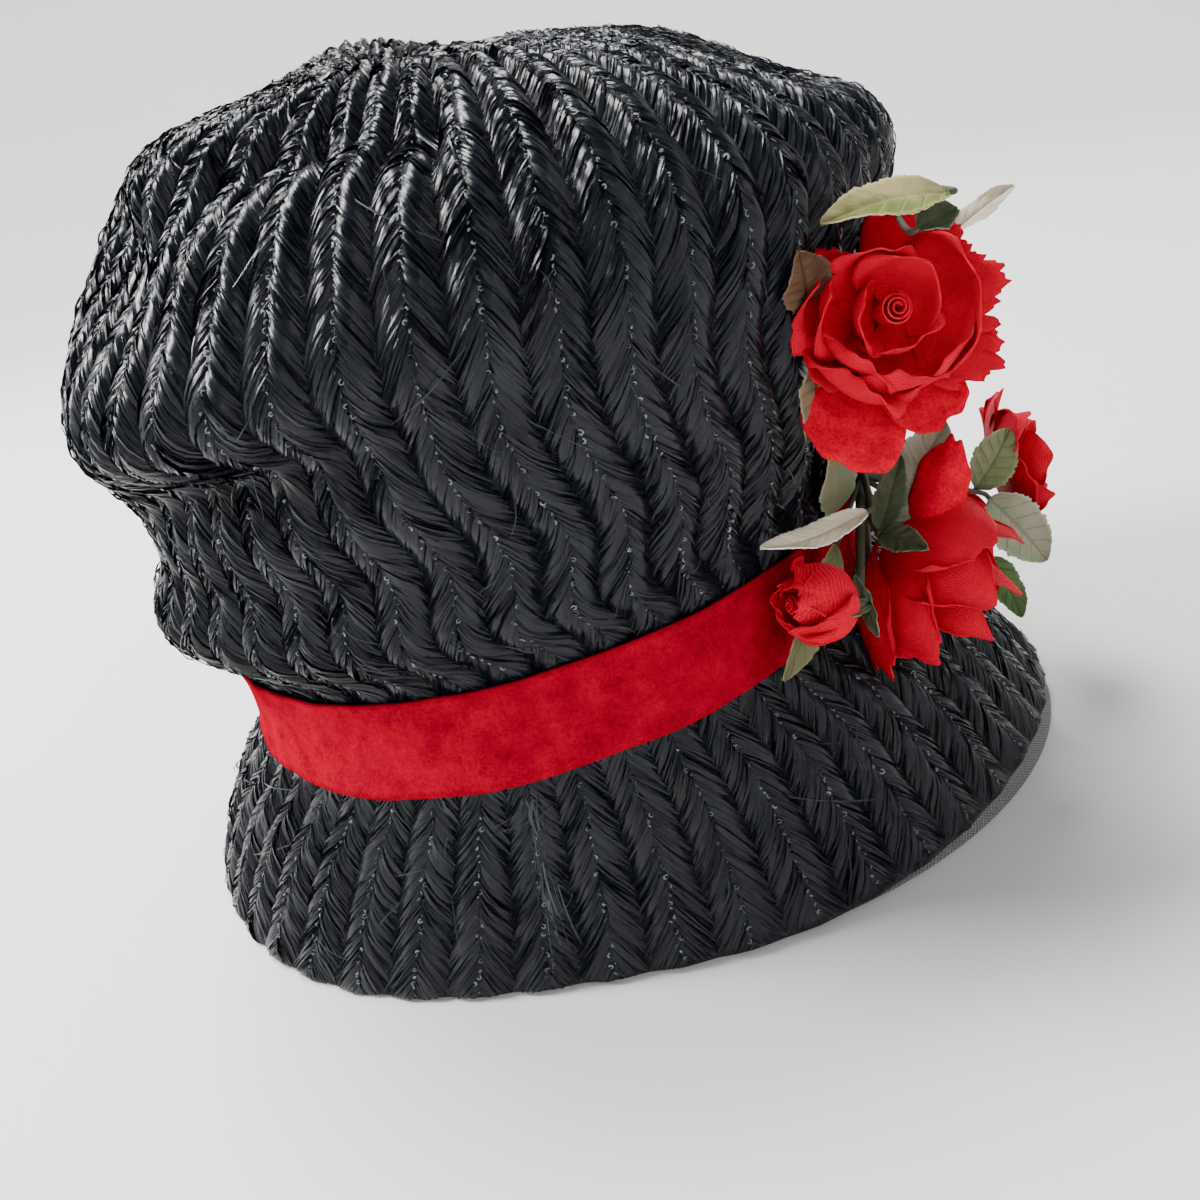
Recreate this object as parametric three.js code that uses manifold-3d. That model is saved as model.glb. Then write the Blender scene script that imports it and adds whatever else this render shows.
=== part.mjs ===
// Bubble hat of glossy straw braid: a soft crown and a sloping brim in fishtail ribs, a velvet band,
// and a spray of cloth roses with leaves on its right side.
// Millimetres, +Z up.  The rim lies on z = 0, the front faces -Y and the spray is at +X.
import * as THREE from 'three';
import { mergeVertices } from 'three/addons/utils/BufferGeometryUtils.js';
import Module from 'manifold-3d';

const wasm = await Module();
wasm.setup();

// Driving dimensions
const BRAIDS = 48; // fishtail braids round the hat, each with a rib and a groove
const WALL = 2; // straw below the mean surface
const GAP = 0.3; // clearance between pieces that touch
const NET_THICKNESS = 1;
const NET_GAP = 0.5;
const BAND_THICKNESS = 1;
const BAND_GAP = 0.4;
const BAND_RELIEF = 0.4; // what is left of the ribs under the band
const LEAF_THICKNESS = 1.2;
const STEM_RADIUS = 2;
const TWIG_RADIUS = 1;
const TWIG_ELBOW = 2.5; // straight end of a twig, in line with what it carries
const STEM_SPARE = 0.2; // more room under the stem, where its rings cut across the band's bend
const STEM_SIDES = 8;
const TWIG_SIDES = 5;
const UPRIGHT = 0.95; // an axis with more of its length along Z than this takes X as its upward side

// Rows of the hat's surface, from the middle of the crown to the rim.  z is the height of the row and tip
// what its right end rises; left, right, front and back are distances from the axis; twist turns the
// braids, in degrees; relief is the height of the ribs over the mean surface.
const SECTION_COLUMNS = ['z', 'tip', 'left', 'right', 'front', 'back', 'twist', 'relief'];
const SECTIONS = {
  centre: [205, 0, 12, -12, 6, -6, 0, 0.1],
  pole: [211, 0, 36, 10, 30, 19, 0, 0.4],
  top: [208, -3, 57, 48, 54, 57, 0, 0.7],
  shoulder: [195, -5, 93, 84, 85, 91, 0, 0.9],
  bulge: [168, 4, 116, 102, 106, 108, 0, 0.9],
  swell: [138, 4, 122, 92, 109, 104, 3, 0.9],
  waist: [112, 5, 113, 89, 101, 100, 5.5, 0.9],
  puff: [94, 5, 117, 82, 100, 98, 7.5, 0.9],
  bandTop: [81, 7, 105, 81, 97, 96, 8.5, BAND_RELIEF],
  bandLow: [55, 7, 105, 79, 99, 99, 7.5, BAND_RELIEF],
  brimMiddle: [33, 5, 119, 105, 104, 107, 4, 0.9],
  rim: [0, 0, 134, 136, 114, 116, 0, 0.9],
};
const ROW_NAMES = Object.keys(SECTIONS);
const ROW = Object.fromEntries(ROW_NAMES.map((name, index) => [name, index]));

// Dents and bulges of the soft straw.  turn is the azimuth in degrees and row the place in the table above;
// out and rise are the push, in mm; wide is in degrees, tall in rows, and slant in rows over one width.
const FOLD_COLUMNS = ['turn', 'row', 'out', 'rise', 'wide', 'tall', 'slant'];
const FOLDS = {
  leftNotch: [207, 3.45, -10, 0, 20, 0.35, 0.25],
  shoulderCrease: [236, 2.95, -7, -4, 16, 0.35, -0.25],
  leftPocket: [247, 2.6, 0, -8, 9, 0.35, 0],
  middlePocket: [263, 2.85, -6, -5, 7, 0.3, 0],
  leftBulge: [232, 4.3, 7, -4, 30, 0.6, 0],
  leftCrease: [230, 5.1, -13, 3, 30, 0.38, -0.24],
  lowBulge: [205, 6.6, 4, 0, 25, 0.5, 0],
  topValley: [350, 2.6, 0, -9, 24, 0.6, 0],
  backBulge: [55, 2.6, 4, 8, 40, 0.8, 0],
  backLeftBulge: [122, 1.6, 0, 9, 38, 0.6, 0],
  rimOut: [228, 11, 3, 0, 20, 1.2, 0],
  rimIn: [262, 11, -3, 0, 18, 1.2, 0],
};

const SEAM_ROW = 8.5; // crown and brim meet here, under the band
const SEAM_GAP_ROWS = 0.006;
const CROWN_STEPS = 19; // from the pole to the band's top edge
const BRIM_STEPS = 5; // from the band's lower edge to the rim
const BRIM_LINING_STEPS = 2;
const BAND_STEPS = 64;
const NET_ROW = 10; // where the net starts, up under the brim
const POLE_ROWS = 0.05; // the surface is level from its middle to here
const SLOPE_ROWS = 0.01; // step over which the surface's slope is taken

// The straw stops short of the net at the right of the rim
const SHORT_TURN = 325;
const SHORT_WIDE = 35;
const SHORT_ROWS = 0.12;

const record = (columns, values) => Object.fromEntries(columns.map((name, index) => [name, values[index]]));
const folds = Object.values(FOLDS).map((values) => record(FOLD_COLUMNS, values));
const radians = THREE.MathUtils.degToRad;
const wrapped = (degrees) => THREE.MathUtils.euclideanModulo(degrees + 180, 360) - 180;
const bell = (value) => Math.exp(-value * value);

// One column of the section table at a row between its rows, by a Catmull-Rom curve
function column(name, row) {
  const place = SECTION_COLUMNS.indexOf(name);
  const rows = Object.values(SECTIONS).map((values) => values[place]);
  const last = rows.length - 1;
  const low = Math.min(Math.floor(row), last - 1);
  const t = row - low;
  const p1 = rows[low];
  const p2 = rows[low + 1];
  const p0 = low > 0 ? rows[low - 1] : 2 * p1 - p2;
  const p3 = low + 2 <= last ? rows[low + 2] : 2 * p2 - p1;
  return 0.5 * (2 * p1 + (p2 - p0) * t + (2 * p0 - 5 * p1 + 4 * p2 - p3) * t * t
    + (3 * p1 - p0 - 3 * p2 + p3) * t * t * t);
}

// Point of the mean surface at an azimuth in degrees
function meanPoint(azimuth, row) {
  const [z, tip, left, right, front, back] = SECTION_COLUMNS.slice(0, 6).map((name) => column(name, row));
  const cosine = Math.cos(radians(azimuth));
  const sine = Math.sin(radians(azimuth));
  const point = new THREE.Vector3(
    (right - left) / 2 + (right + left) / 2 * cosine,
    (back - front) / 2 + (back + front) / 2 * sine,
    z + tip * cosine,
  );
  for (const fold of folds) {
    const across = wrapped(azimuth - fold.turn) / fold.wide;
    const along = (row - fold.row - fold.slant * across) / fold.tall;
    const push = bell(across) * bell(along);
    const radius = Math.hypot(point.x, point.y) || 1;
    point.x *= 1 + fold.out * push / radius;
    point.y *= 1 + fold.out * push / radius;
    point.z += fold.rise * push;
  }
  return point;
}

function surfaceNormal(azimuth, row) {
  if (row < POLE_ROWS) {
    return new THREE.Vector3(0, 0, 1);
  }
  const here = meanPoint(azimuth, row);
  const round = meanPoint(azimuth + 1, row).sub(here);
  const down = row + SLOPE_ROWS > ROW.rim ? here.clone().sub(meanPoint(azimuth, row - SLOPE_ROWS))
    : meanPoint(azimuth, row + SLOPE_ROWS).sub(here);
  return down.cross(round).normalize();
}

// Point at a distance out from the mean surface
function offsetPoint(azimuth, row, out) {
  return meanPoint(azimuth, row).addScaledVector(surfaceNormal(azimuth, row), out);
}

// The same, moved level instead of along the normal, so that it keeps the height of the mean surface
function levelPoint(azimuth, row, out) {
  const normal = surfaceNormal(azimuth, row);
  const flat = Math.hypot(normal.x, normal.y);
  const point = meanPoint(azimuth, row);
  point.x += out * normal.x / (flat * flat);
  point.y += out * normal.y / (flat * flat);
  return point;
}

// Ring of points round the hat, with the braids' ribs and grooves where ribs is 1
function hatRing(rowAt, out, { steps = 2 * BRAIDS, ribs = 0, level = false } = {}) {
  return Array.from({ length: steps }, (_, index) => {
    const turn = 360 * index / steps;
    const row = typeof rowAt === 'function' ? rowAt(turn) : rowAt;
    const relief = ribs * column('relief', row) * (index % 2 === 0 ? 1 : -1);
    const azimuth = turn + column('twist', row);
    return level ? levelPoint(azimuth, row, out + relief) : offsetPoint(azimuth, row, out + relief);
  });
}

// Closed body of rings of points, each joined to the next.  A ring of one point closes the body to a tip;
// with loop the last ring joins the first.
function bodyOfRings(rings, loop = false) {
  const positions = rings.flat().flatMap((point) => [point.x, point.y, point.z]);
  const starts = rings.map((_, index) => rings.slice(0, index).flat().length);
  const faces = [];
  const joins = loop ? rings.length : rings.length - 1;
  for (let index = 0; index < joins; index += 1) {
    const next = (index + 1) % rings.length;
    const upper = rings[index].length;
    const lower = rings[next].length;
    const up = (place) => starts[index] + place % upper;
    const low = (place) => starts[next] + place % lower;
    let i = 0;
    let j = 0;
    while ((upper > 1 && i < upper) || (lower > 1 && j < lower)) {
      const stepUpper = lower === 1 || (upper > 1 && (i + 1) / upper <= (j + 1) / lower);
      if (stepUpper) {
        faces.push(up(i), low(j), up(i + 1));
        i += 1;
      } else {
        faces.push(up(i), low(j), low(j + 1));
        j += 1;
      }
    }
  }
  const geometry = new THREE.BufferGeometry();
  geometry.setAttribute('position', new THREE.Float32BufferAttribute(positions, 3));
  geometry.setIndex(faces);
  return geometry;
}

const range = (count) => Array.from({ length: count }, (_, index) => index);
const blend = (from, to, share) => from + (to - from) * share;

function crownGeometry() {
  const rows = range(CROWN_STEPS).map((step) => ROW.bandTop * (step + 1) / CROWN_STEPS);
  rows.push(SEAM_ROW - SEAM_GAP_ROWS);
  const outer = rows.map((row) => hatRing(row, 0, { ribs: 1 }));
  const inner = rows.map((row) => hatRing(row, -WALL, { steps: BRAIDS })).reverse();
  return bodyOfRings([[offsetPoint(0, 0, 0)], ...outer, ...inner, [offsetPoint(0, 0, -WALL)]]);
}

function strawEnd(turn) {
  return ROW.rim - SHORT_ROWS * bell(wrapped(turn - SHORT_TURN) / SHORT_WIDE);
}

function brimGeometry() {
  const rowsTo = (steps) => [
    SEAM_ROW + SEAM_GAP_ROWS,
    ...range(steps + 1).map((step) => (turn) => blend(ROW.bandLow, strawEnd(turn), step / steps)),
  ];
  const surface = (steps, out, options) => rowsTo(steps).map((rowAt, index, all) => (
    hatRing(rowAt, out, { ...options, level: index === all.length - 1 })));
  const outer = surface(BRIM_STEPS, 0, { ribs: 1 });
  const inner = surface(BRIM_LINING_STEPS, -WALL, { steps: BRAIDS }).reverse();
  return bodyOfRings([...outer, ...inner], true);
}

// Coarse net that stiffens the brim from below; it shows past the straw at the right of the rim
function netGeometry() {
  const ring = (row, out) => hatRing(row, out, { steps: BRAIDS, level: row === ROW.rim });
  const outside = -WALL - NET_GAP;
  const inside = outside - NET_THICKNESS;
  return bodyOfRings([
    ring(NET_ROW, outside),
    ring(ROW.rim, outside),
    ring(ROW.rim, inside),
    ring(NET_ROW, inside),
  ], true);
}

function bandGeometry() {
  const ring = (row, out) => hatRing(row, out, { steps: BAND_STEPS });
  const inside = BAND_RELIEF + BAND_GAP;
  const outside = inside + BAND_THICKNESS;
  return bodyOfRings([
    ring(ROW.bandTop, outside),
    ring(ROW.bandLow, outside),
    ring(ROW.bandLow, inside),
    ring(ROW.bandTop, inside),
  ], true);
}

const vector = (values) => new THREE.Vector3(...values);

// Directions across and up that go with an axis
function frameOf(axis, upward = [0, 0, 1]) {
  const forward = vector(axis).normalize();
  const across = vector(upward).cross(forward).normalize();
  const up = forward.clone().cross(across);
  return { across, up, forward };
}

// Round section of a tube at a point
function tubeRing(centre, axis, radius, sides) {
  const upward = Math.abs(axis.z) > UPRIGHT * axis.length() ? [1, 0, 0] : [0, 0, 1];
  const { across, up } = frameOf(axis.toArray(), upward);
  return range(sides).map((side) => {
    const angle = -2 * Math.PI * side / sides;
    return centre.clone().addScaledVector(across, radius * Math.cos(angle))
      .addScaledVector(up, radius * Math.sin(angle));
  });
}

function tubeGeometry(points, radius, sides) {
  const rings = points.map((point, index) => {
    const before = points[Math.max(index - 1, 0)];
    const after = points[Math.min(index + 1, points.length - 1)];
    return tubeRing(point, after.clone().sub(before), radius, sides);
  });
  return bodyOfRings([[points[0]], ...rings, [points[points.length - 1]]]);
}

function solidOf(geometry) {
  const bare = new THREE.BufferGeometry();
  bare.setAttribute('position', geometry.getAttribute('position'));
  bare.setIndex(geometry.getIndex());
  const merged = mergeVertices(bare);
  return new wasm.Manifold(new wasm.Mesh({
    numProp: 3,
    vertProperties: new Float32Array(merged.getAttribute('position').array),
    triVerts: new Uint32Array(merged.getIndex().array),
  }));
}

function fused(geometries) {
  const mesh = geometries.map(solidOf).reduce((whole, part) => whole.add(part)).getMesh();
  const geometry = new THREE.BufferGeometry();
  geometry.setAttribute('position', new THREE.Float32BufferAttribute(mesh.vertProperties, 3));
  geometry.setIndex(Array.from(mesh.triVerts));
  return geometry;
}

// Roses.  front is the middle of the bud, axis where it faces and depth from there back to the stem.  The
// rings run from the back of the flower to its middle, with their radius and their height along the axis.
// Petals are lobes of a ring: turn in degrees from the flower's right, reach times the ring's radius, and
// wide in degrees.
const ROSE_COLUMNS = ['radius', 'height', 'petals'];
const ROSE_SIDES = 28;
const ROSE_FLOOR = 0.62; // least reach between two petals
const ROSE_EYE = 1; // depth of the flower's middle below its last ring
const PETAL_COLUMNS = ['turn', 'reach', 'wide'];
const MIDDLE_PETALS = [
  [130, 1, 44], [75, 0.95, 40], [20, 1.05, 46], [-50, 1, 50], [-120, 1.05, 46], [180, 0.95, 40],
];
const INNER_PETALS = [[130, 1, 60], [20, 1.05, 65], [-100, 1.1, 70]];
const BUD_PETALS = [[60, 1, 80], [-60, 1, 80], [180, 1, 80]];

const FLOWERS = {
  rose_large: {
    front: [77, -92, 142],
    axis: [0.1, -0.95, 0.3],
    depth: 22,
    rings: [
      [3, -22],
      [12, -16],
      [24, -12, [
        [58, 0.98, 34], [5, 1.1, 40], [-38, 1.05, 36], [-74, 1.2, 34], [-106, 1.5, 32], [-158, 1.05, 24],
        [120, 0.7, 40],
      ]],
      [9.5, -11],
      [18.5, -3, MIDDLE_PETALS],
      [7.5, -5],
      [12, 1, INNER_PETALS],
      [3.5, -3],
      [4.5, 1.5, BUD_PETALS],
    ],
  },
  rose_lower: {
    front: [95, -61.5, 53.6],
    axis: [0.58, -0.30, -0.75],
    depth: 30,
    rings: [
      [3, -30],
      [16, -25, [[65, 1.75, 32]]],
      [28, -6, [[26, 1.1, 34], [70, 1, 32], [115, 1, 34], [160, 1, 34], [209, 1.1, 34]]],
      [10, -12],
      [18, -1, MIDDLE_PETALS],
      [7, -5],
      [11, 2, INNER_PETALS],
      [3.5, -3],
      [4, 2, BUD_PETALS],
    ],
  },
  rose_rear: {
    front: [140, -10, 70],
    axis: [0.93, -0.15, 0.1],
    depth: 18,
    rings: [
      [3, -18],
      [9, -14],
      [20, -8, [[80, 1.1, 36], [20, 1, 36], [-45, 1, 40], [-110, 0.8, 36], [180, 1, 36], [130, 1.1, 30]]],
      [7, -8],
      [13, -1, INNER_PETALS],
      [4, -3],
      [5, 2, BUD_PETALS],
    ],
  },
  rosebud: {
    front: [42, -99, 83],
    axis: [-0.75, -0.5, 0.38],
    depth: 25,
    rings: [
      [2.5, -25],
      [9, -19],
      [10.5, -12],
      [6, -3],
      [7, 0, [[60, 1, 80], [-60, 1.1, 80], [180, 1, 80]]],
      [3.5, -3],
    ],
  },
};

function lobes(petals, angle) {
  const reaches = petals.map((values) => {
    const { turn, reach, wide } = record(PETAL_COLUMNS, values);
    const across = wrapped(angle - turn) / wide;
    return reach * Math.sqrt(Math.max(0, 1 - across * across));
  });
  return Math.max(ROSE_FLOOR, ...reaches);
}

function flowerPoint(flower, across, up, along) {
  const frame = frameOf(flower.axis);
  return vector(flower.front).addScaledVector(frame.across, across).addScaledVector(frame.up, up)
    .addScaledVector(frame.forward, along);
}

function roseGeometry(flower) {
  const rings = flower.rings.map((values) => {
    const { radius, height, petals } = record(ROSE_COLUMNS, values);
    const reachAt = (angle) => (petals ? radius * lobes(petals, angle) : radius);
    return range(ROSE_SIDES).map((side) => {
      const angle = -360 * side / ROSE_SIDES;
      const reach = reachAt(angle);
      const turn = radians(angle);
      return flowerPoint(flower, reach * Math.cos(turn), reach * Math.sin(turn), height);
    });
  });
  const { height } = record(ROSE_COLUMNS, flower.rings[flower.rings.length - 1]);
  const back = flowerPoint(flower, 0, 0, -flower.depth);
  const eye = flowerPoint(flower, 0, 0, height - ROSE_EYE);
  return bodyOfRings([[back], ...rings, [eye]]);
}

// Leaves, each a bent blade from its base to its tip.  face is the side that shows; bow lifts the middle
// of the blade and fold the sides over the midrib, in mm.
const LEAF_COLUMNS = ['base', 'tip', 'width', 'face', 'bow', 'fold'];
const LEAF_STEPS = 5;
const LEAF_BASE_HALF = 1.2;
const LEAF_WIDEST = 0.8; // below 1 the leaf is widest before its middle
const LEAVES = {
  leaf_crown: [[84.5, -87, 159.5], [65, -89, 162], 14, [0, -0.3, 0.95], 2, 1],
  leaf_peak: [[90, -84, 161], [99, -81, 163], 8, [0, -0.3, 0.95], 1, 1],
  leaf_pale: [[102, -58, 148], [120, -50, 153], 8, [0, -0.6, 0.8], 1, 1],
  leaf_brown: [[59.5, -82.4, 144.8], [52.7, -91.9, 153.3], 12, [0.2, -0.9, 0], 1, 1],
  leaf_beige: [[60.5, -77.5, 130], [53.5, -81.5, 114], 9, [0.5, -0.8, 0], 1, 1],
  leaf_long: [[63.9, -59.3, 90], [64.5, -70, 110], 11, [0.6, -0.8, -0.1], 1, 1],
  leaf_curl: [[70, -72, 90], [40, -91, 95], 10, [0, -0.4, 0.9], -3, 1],
  leaf_bud: [[68.4, -57.2, 83], [43, -85, 58.5], 12, [0.72, -0.67, 0.1], 1.5, 1],
  leaf_middle: [[80, -58, 80], [98, -52, 101], 17, [-0.3, -0.9, 0.2], 2, 1],
  leaf_dark: [[76, -59, 79], [84, -58, 97], 8, [-0.3, -0.9, 0.2], 1, 1],
  leaf_olive: [[112, -30, 72], [126, -22, 84], 13, [0, -0.95, 0.3], 2, 1],
  leaf_right: [[114, -34, 70], [129, -34, 47], 16, [0.1, -0.95, 0.2], 2, 1],
  leaf_low: [[113, -34, 52], [119, -38, 33], 9, [0.1, -0.95, 0.2], 1, 1],
};

function leafGeometry(leaf) {
  const base = vector(leaf.base);
  const along = vector(leaf.tip).sub(base);
  const length = along.length();
  const forward = along.clone().normalize();
  const side = vector(leaf.face).cross(forward).normalize();
  const face = forward.clone().cross(side);
  const rings = range(LEAF_STEPS).map((step) => {
    const share = step / LEAF_STEPS;
    const spread = Math.sin(Math.PI * share ** LEAF_WIDEST);
    const half = LEAF_BASE_HALF + (leaf.width / 2 - LEAF_BASE_HALF) * spread;
    const middle = base.clone().addScaledVector(forward, share * length)
      .addScaledVector(face, leaf.bow * Math.sin(Math.PI * share));
    const lift = leaf.fold * half / (leaf.width / 2);
    const point = (sideways, height) => middle.clone().addScaledVector(side, sideways * half)
      .addScaledVector(face, height);
    const top = LEAF_THICKNESS / 2;
    return [
      point(-1, lift + top), point(0, top), point(1, lift + top),
      point(1, lift - top), point(0, -top), point(-1, lift - top),
    ];
  });
  return bodyOfRings([[base], ...rings, [vector(leaf.tip)]]);
}

// Wrapped wire stem against the right side of the crown and the band, with a twig to each flower and leaf
const STEM_AZIMUTH = 337;
const STEM_ROWS = [4.6, 5, 5.6, 6.2, 6.8, 7.4, 8, 9];
const STEM_OUT = BAND_RELIEF + BAND_GAP + BAND_THICKNESS + GAP + STEM_RADIUS + STEM_SPARE;
// A twig leaves the stem at a row of the hat's surface; rise, where it has one, lifts its middle, in mm
const TWIG_COLUMNS = ['to', 'row', 'rise'];
const TWIGS = [
  ['leaf_crown', 4.7, 6],
  ['leaf_peak', 4.7, 6],
  ['leaf_pale', 5],
  ['rose_large', 5.6],
  ['leaf_curl', 7.4],
  ['leaf_dark', 7.4],
  ['leaf_bud', 8],
  ['leaf_middle', 8],
  ['rose_lower', 8, 1],
  ['rosebud', 8],
  ['rose_rear', 8],
  ['leaf_olive', 8],
  ['leaf_right', 8],
  ['leaf_low', 8],
];

const leaves = Object.fromEntries(
  Object.entries(LEAVES).map(([name, values]) => [name, record(LEAF_COLUMNS, values)]),
);

// Where a twig ends and the way it points there
function twigEnd(name) {
  if (leaves[name]) {
    const base = vector(leaves[name].base);
    const forward = vector(leaves[name].tip).sub(base).normalize();
    return { end: base.addScaledVector(forward, -GAP), forward };
  }
  const flower = FLOWERS[name];
  const { forward } = frameOf(flower.axis);
  return { end: flowerPoint(flower, 0, 0, -flower.depth - GAP), forward };
}

function stemGeometry() {
  const centre = (row) => offsetPoint(STEM_AZIMUTH, row, STEM_OUT);
  const main = tubeGeometry(STEM_ROWS.map(centre), STEM_RADIUS, STEM_SIDES);
  const twigs = TWIGS.map((values) => {
    const { to, row, rise } = record(TWIG_COLUMNS, values);
    const { end, forward } = twigEnd(to);
    const start = centre(row);
    const elbow = end.clone().addScaledVector(forward, -TWIG_ELBOW);
    const middles = rise ? [start.clone().lerp(elbow, 0.5).add(vector([0, 0, rise]))] : [];
    return tubeGeometry([start, ...middles, elbow, end], TWIG_RADIUS, TWIG_SIDES);
  });
  return fused([main, ...twigs]);
}

const finish = (color, roughness) => new THREE.MeshStandardMaterial({ color, roughness, metalness: 0 });
const straw = finish(0x15171c, 0.35);
const net = finish(0x0c0c0e, 0.7);
const velvet = finish(0xb80a1c, 0.9);
const satin = finish(0xd00f1c, 0.5);
const leafCloth = finish(0x6f7a52, 0.8);
const tape = finish(0x35402c, 0.8);

const hat = new THREE.Group();

function addPiece(name, geometry, material) {
  geometry.computeVertexNormals();
  const mesh = new THREE.Mesh(geometry, material);
  mesh.name = name;
  hat.add(mesh);
}

addPiece('crown', crownGeometry(), straw);
addPiece('brim', brimGeometry(), straw);
addPiece('brim_net', netGeometry(), net);
addPiece('band', bandGeometry(), velvet);
addPiece('spray_stem', stemGeometry(), tape);
for (const [name, flower] of Object.entries(FLOWERS)) {
  addPiece(name, roseGeometry(flower), satin);
}
for (const [name, leaf] of Object.entries(leaves)) {
  addPiece(name, leafGeometry(leaf), leafCloth);
}

// The origin is the middle of the hat's box, on the surface that the rim rests on
const box = new THREE.Box3().setFromObject(hat, true);
hat.position.set(-(box.min.x + box.max.x) / 2, -(box.min.y + box.max.y) / 2, -box.min.z);

export default hat;
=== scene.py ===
"""Dresses the bubble hat: straw braids, net, velvet band, cloth roses and leaves, and its stage."""

import math

import bmesh
import bpy
import numpy as np
from bpy.props import FloatProperty, FloatVectorProperty, PointerProperty
from mathutils import Matrix, Vector


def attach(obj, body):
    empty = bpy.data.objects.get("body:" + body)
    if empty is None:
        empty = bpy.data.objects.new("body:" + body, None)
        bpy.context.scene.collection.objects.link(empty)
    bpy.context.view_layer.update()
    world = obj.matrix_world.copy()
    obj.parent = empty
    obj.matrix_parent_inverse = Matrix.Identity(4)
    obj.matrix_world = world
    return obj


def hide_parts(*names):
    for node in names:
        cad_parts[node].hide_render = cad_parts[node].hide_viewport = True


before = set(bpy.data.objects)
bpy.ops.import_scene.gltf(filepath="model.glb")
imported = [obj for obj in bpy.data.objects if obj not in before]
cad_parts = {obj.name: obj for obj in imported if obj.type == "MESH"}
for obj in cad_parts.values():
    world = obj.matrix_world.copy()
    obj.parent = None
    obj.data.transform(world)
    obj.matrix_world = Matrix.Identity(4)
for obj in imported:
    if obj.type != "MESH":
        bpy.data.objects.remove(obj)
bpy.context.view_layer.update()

bl_info = {
    "name": "Bubble hat",
    "version": (1, 0, 0),
    "blender": (4, 5, 0),
    "location": "3D View > Sidebar > Hat",
    "description": "Straw braids, net, velvet band, roses and leaves of a bubble hat",
    "category": "Object",
}

MM = 0.001
ORIGIN = np.array((-3.92, -2.26, 0.0))  # the hat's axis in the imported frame, in mm
SEED = 48

# Rows of the hat's surface, from the middle of the crown to the rim, in mm.  z is the height of a row and
# tip what its right end rises; left, right, front and back are distances from the axis; twist turns the
# braids, in degrees; relief is the height of the ribs over the mean surface.
SECTION_COLUMNS = ("z", "tip", "left", "right", "front", "back", "twist", "relief")
SECTIONS = {
    "centre": (205, 0, 12, -12, 6, -6, 0, 0.1),
    "pole": (211, 0, 36, 10, 30, 19, 0, 0.4),
    "top": (208, -3, 57, 48, 54, 57, 0, 0.7),
    "shoulder": (195, -5, 93, 84, 85, 91, 0, 0.9),
    "bulge": (168, 4, 116, 102, 106, 108, 0, 0.9),
    "swell": (138, 4, 122, 92, 109, 104, 3, 0.9),
    "waist": (112, 5, 113, 89, 101, 100, 5.5, 0.9),
    "puff": (94, 5, 117, 82, 100, 98, 7.5, 0.9),
    "band_top": (81, 7, 105, 81, 97, 96, 8.5, 0.4),
    "band_low": (55, 7, 105, 79, 99, 99, 7.5, 0.4),
    "brim_middle": (33, 5, 119, 105, 104, 107, 4, 0.9),
    "rim": (0, 0, 134, 136, 114, 116, 0, 0.9),
}
SECTION_TABLE = np.array(list(SECTIONS.values()), float).T
BAND_TOP, RIM = 8, 11  # rows of the table

# Dents and bulges of the soft straw.  turn is an azimuth in degrees and row a place in the table above;
# out and rise are the push, in mm; wide is in degrees, tall in rows, and slant in rows over one width.
FOLD_COLUMNS = ("turn", "row", "out", "rise", "wide", "tall", "slant")
FOLDS = {
    "left_notch": (207, 3.45, -10, 0, 20, 0.35, 0.25),
    "shoulder_crease": (236, 2.95, -7, -4, 16, 0.35, -0.25),
    "left_pocket": (247, 2.6, 0, -8, 9, 0.35, 0),
    "middle_pocket": (263, 2.85, -6, -5, 7, 0.3, 0),
    "left_bulge": (232, 4.3, 7, -4, 30, 0.6, 0),
    "left_crease": (230, 5.1, -13, 3, 30, 0.38, -0.24),
    "low_bulge": (205, 6.6, 4, 0, 25, 0.5, 0),
    "top_valley": (350, 2.6, 0, -9, 24, 0.6, 0),
    "back_bulge": (55, 2.6, 4, 8, 40, 0.8, 0),
    "back_left_bulge": (122, 1.6, 0, 9, 38, 0.6, 0),
    "rim_out": (228, 11, 3, 0, 20, 1.2, 0),
    "rim_in": (262, 11, -3, 0, 18, 1.2, 0),
}

BRAIDS = 48
RIB = 0.9  # relief that the braids' own heights are given for, in mm
RIM_FLAT_ROW, RIM_FLAT_ROWS, RIM_FLATNESS = 10.55, 0.4, 0.55  # where and how much the ribs flatten
LINING_DEPTH, LINING_THICKNESS = 0.8, 0.0012  # under the mean surface, in mm, and in metres
SHORT_TURN, SHORT_WIDE, SHORT_ROWS = 325, 35, 0.14  # straw stops short of the net at the right of the rim
SEAM_TURN, SEAM_LEAN = 262.5, 2.75  # the brim's seam on its front, and its turn from row to row
BAND_ROWS, BAND_ROOM = (7.9, 9.1), 0.55  # rows where strands stay under the band, and their height in mm
NET_DEPTH, NET_THICKNESS = 2.6, 0.0003  # under the mean surface, in mm, and in metres
STRAND_SPREAD = (40, 400)  # how far the pattern shifts from strand to strand, across and along, in mm
RIDGE_HEIGHT, SWELL_HEIGHT, BRAID_SINK = 1.8, 1.5, 0.9  # a braid at its ridge and halfway down, in mm
TUCK_LENGTH, TUCK_DEPTH = 2.5, 0.8  # how straw tucks in at its end, in mm


def wrapped(degrees):
    return (degrees + 180) % 360 - 180


def section(name, row):
    """One column of the section table at rows between its rows, by a Catmull-Rom curve."""
    rows = SECTION_TABLE[SECTION_COLUMNS.index(name)]
    padded = np.concatenate(([2 * rows[0] - rows[1]], rows, [2 * rows[-1] - rows[-2]]))
    low = np.clip(np.floor(row).astype(int), 0, len(rows) - 2)
    t = row - low
    p0, p1, p2, p3 = (padded[low + step] for step in range(4))
    curve = (p2 - p0) * t + (2 * p0 - 5 * p1 + 4 * p2 - p3) * t**2 + (3 * p1 - p0 - 3 * p2 + p3) * t**3
    return p1 + curve / 2


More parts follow.
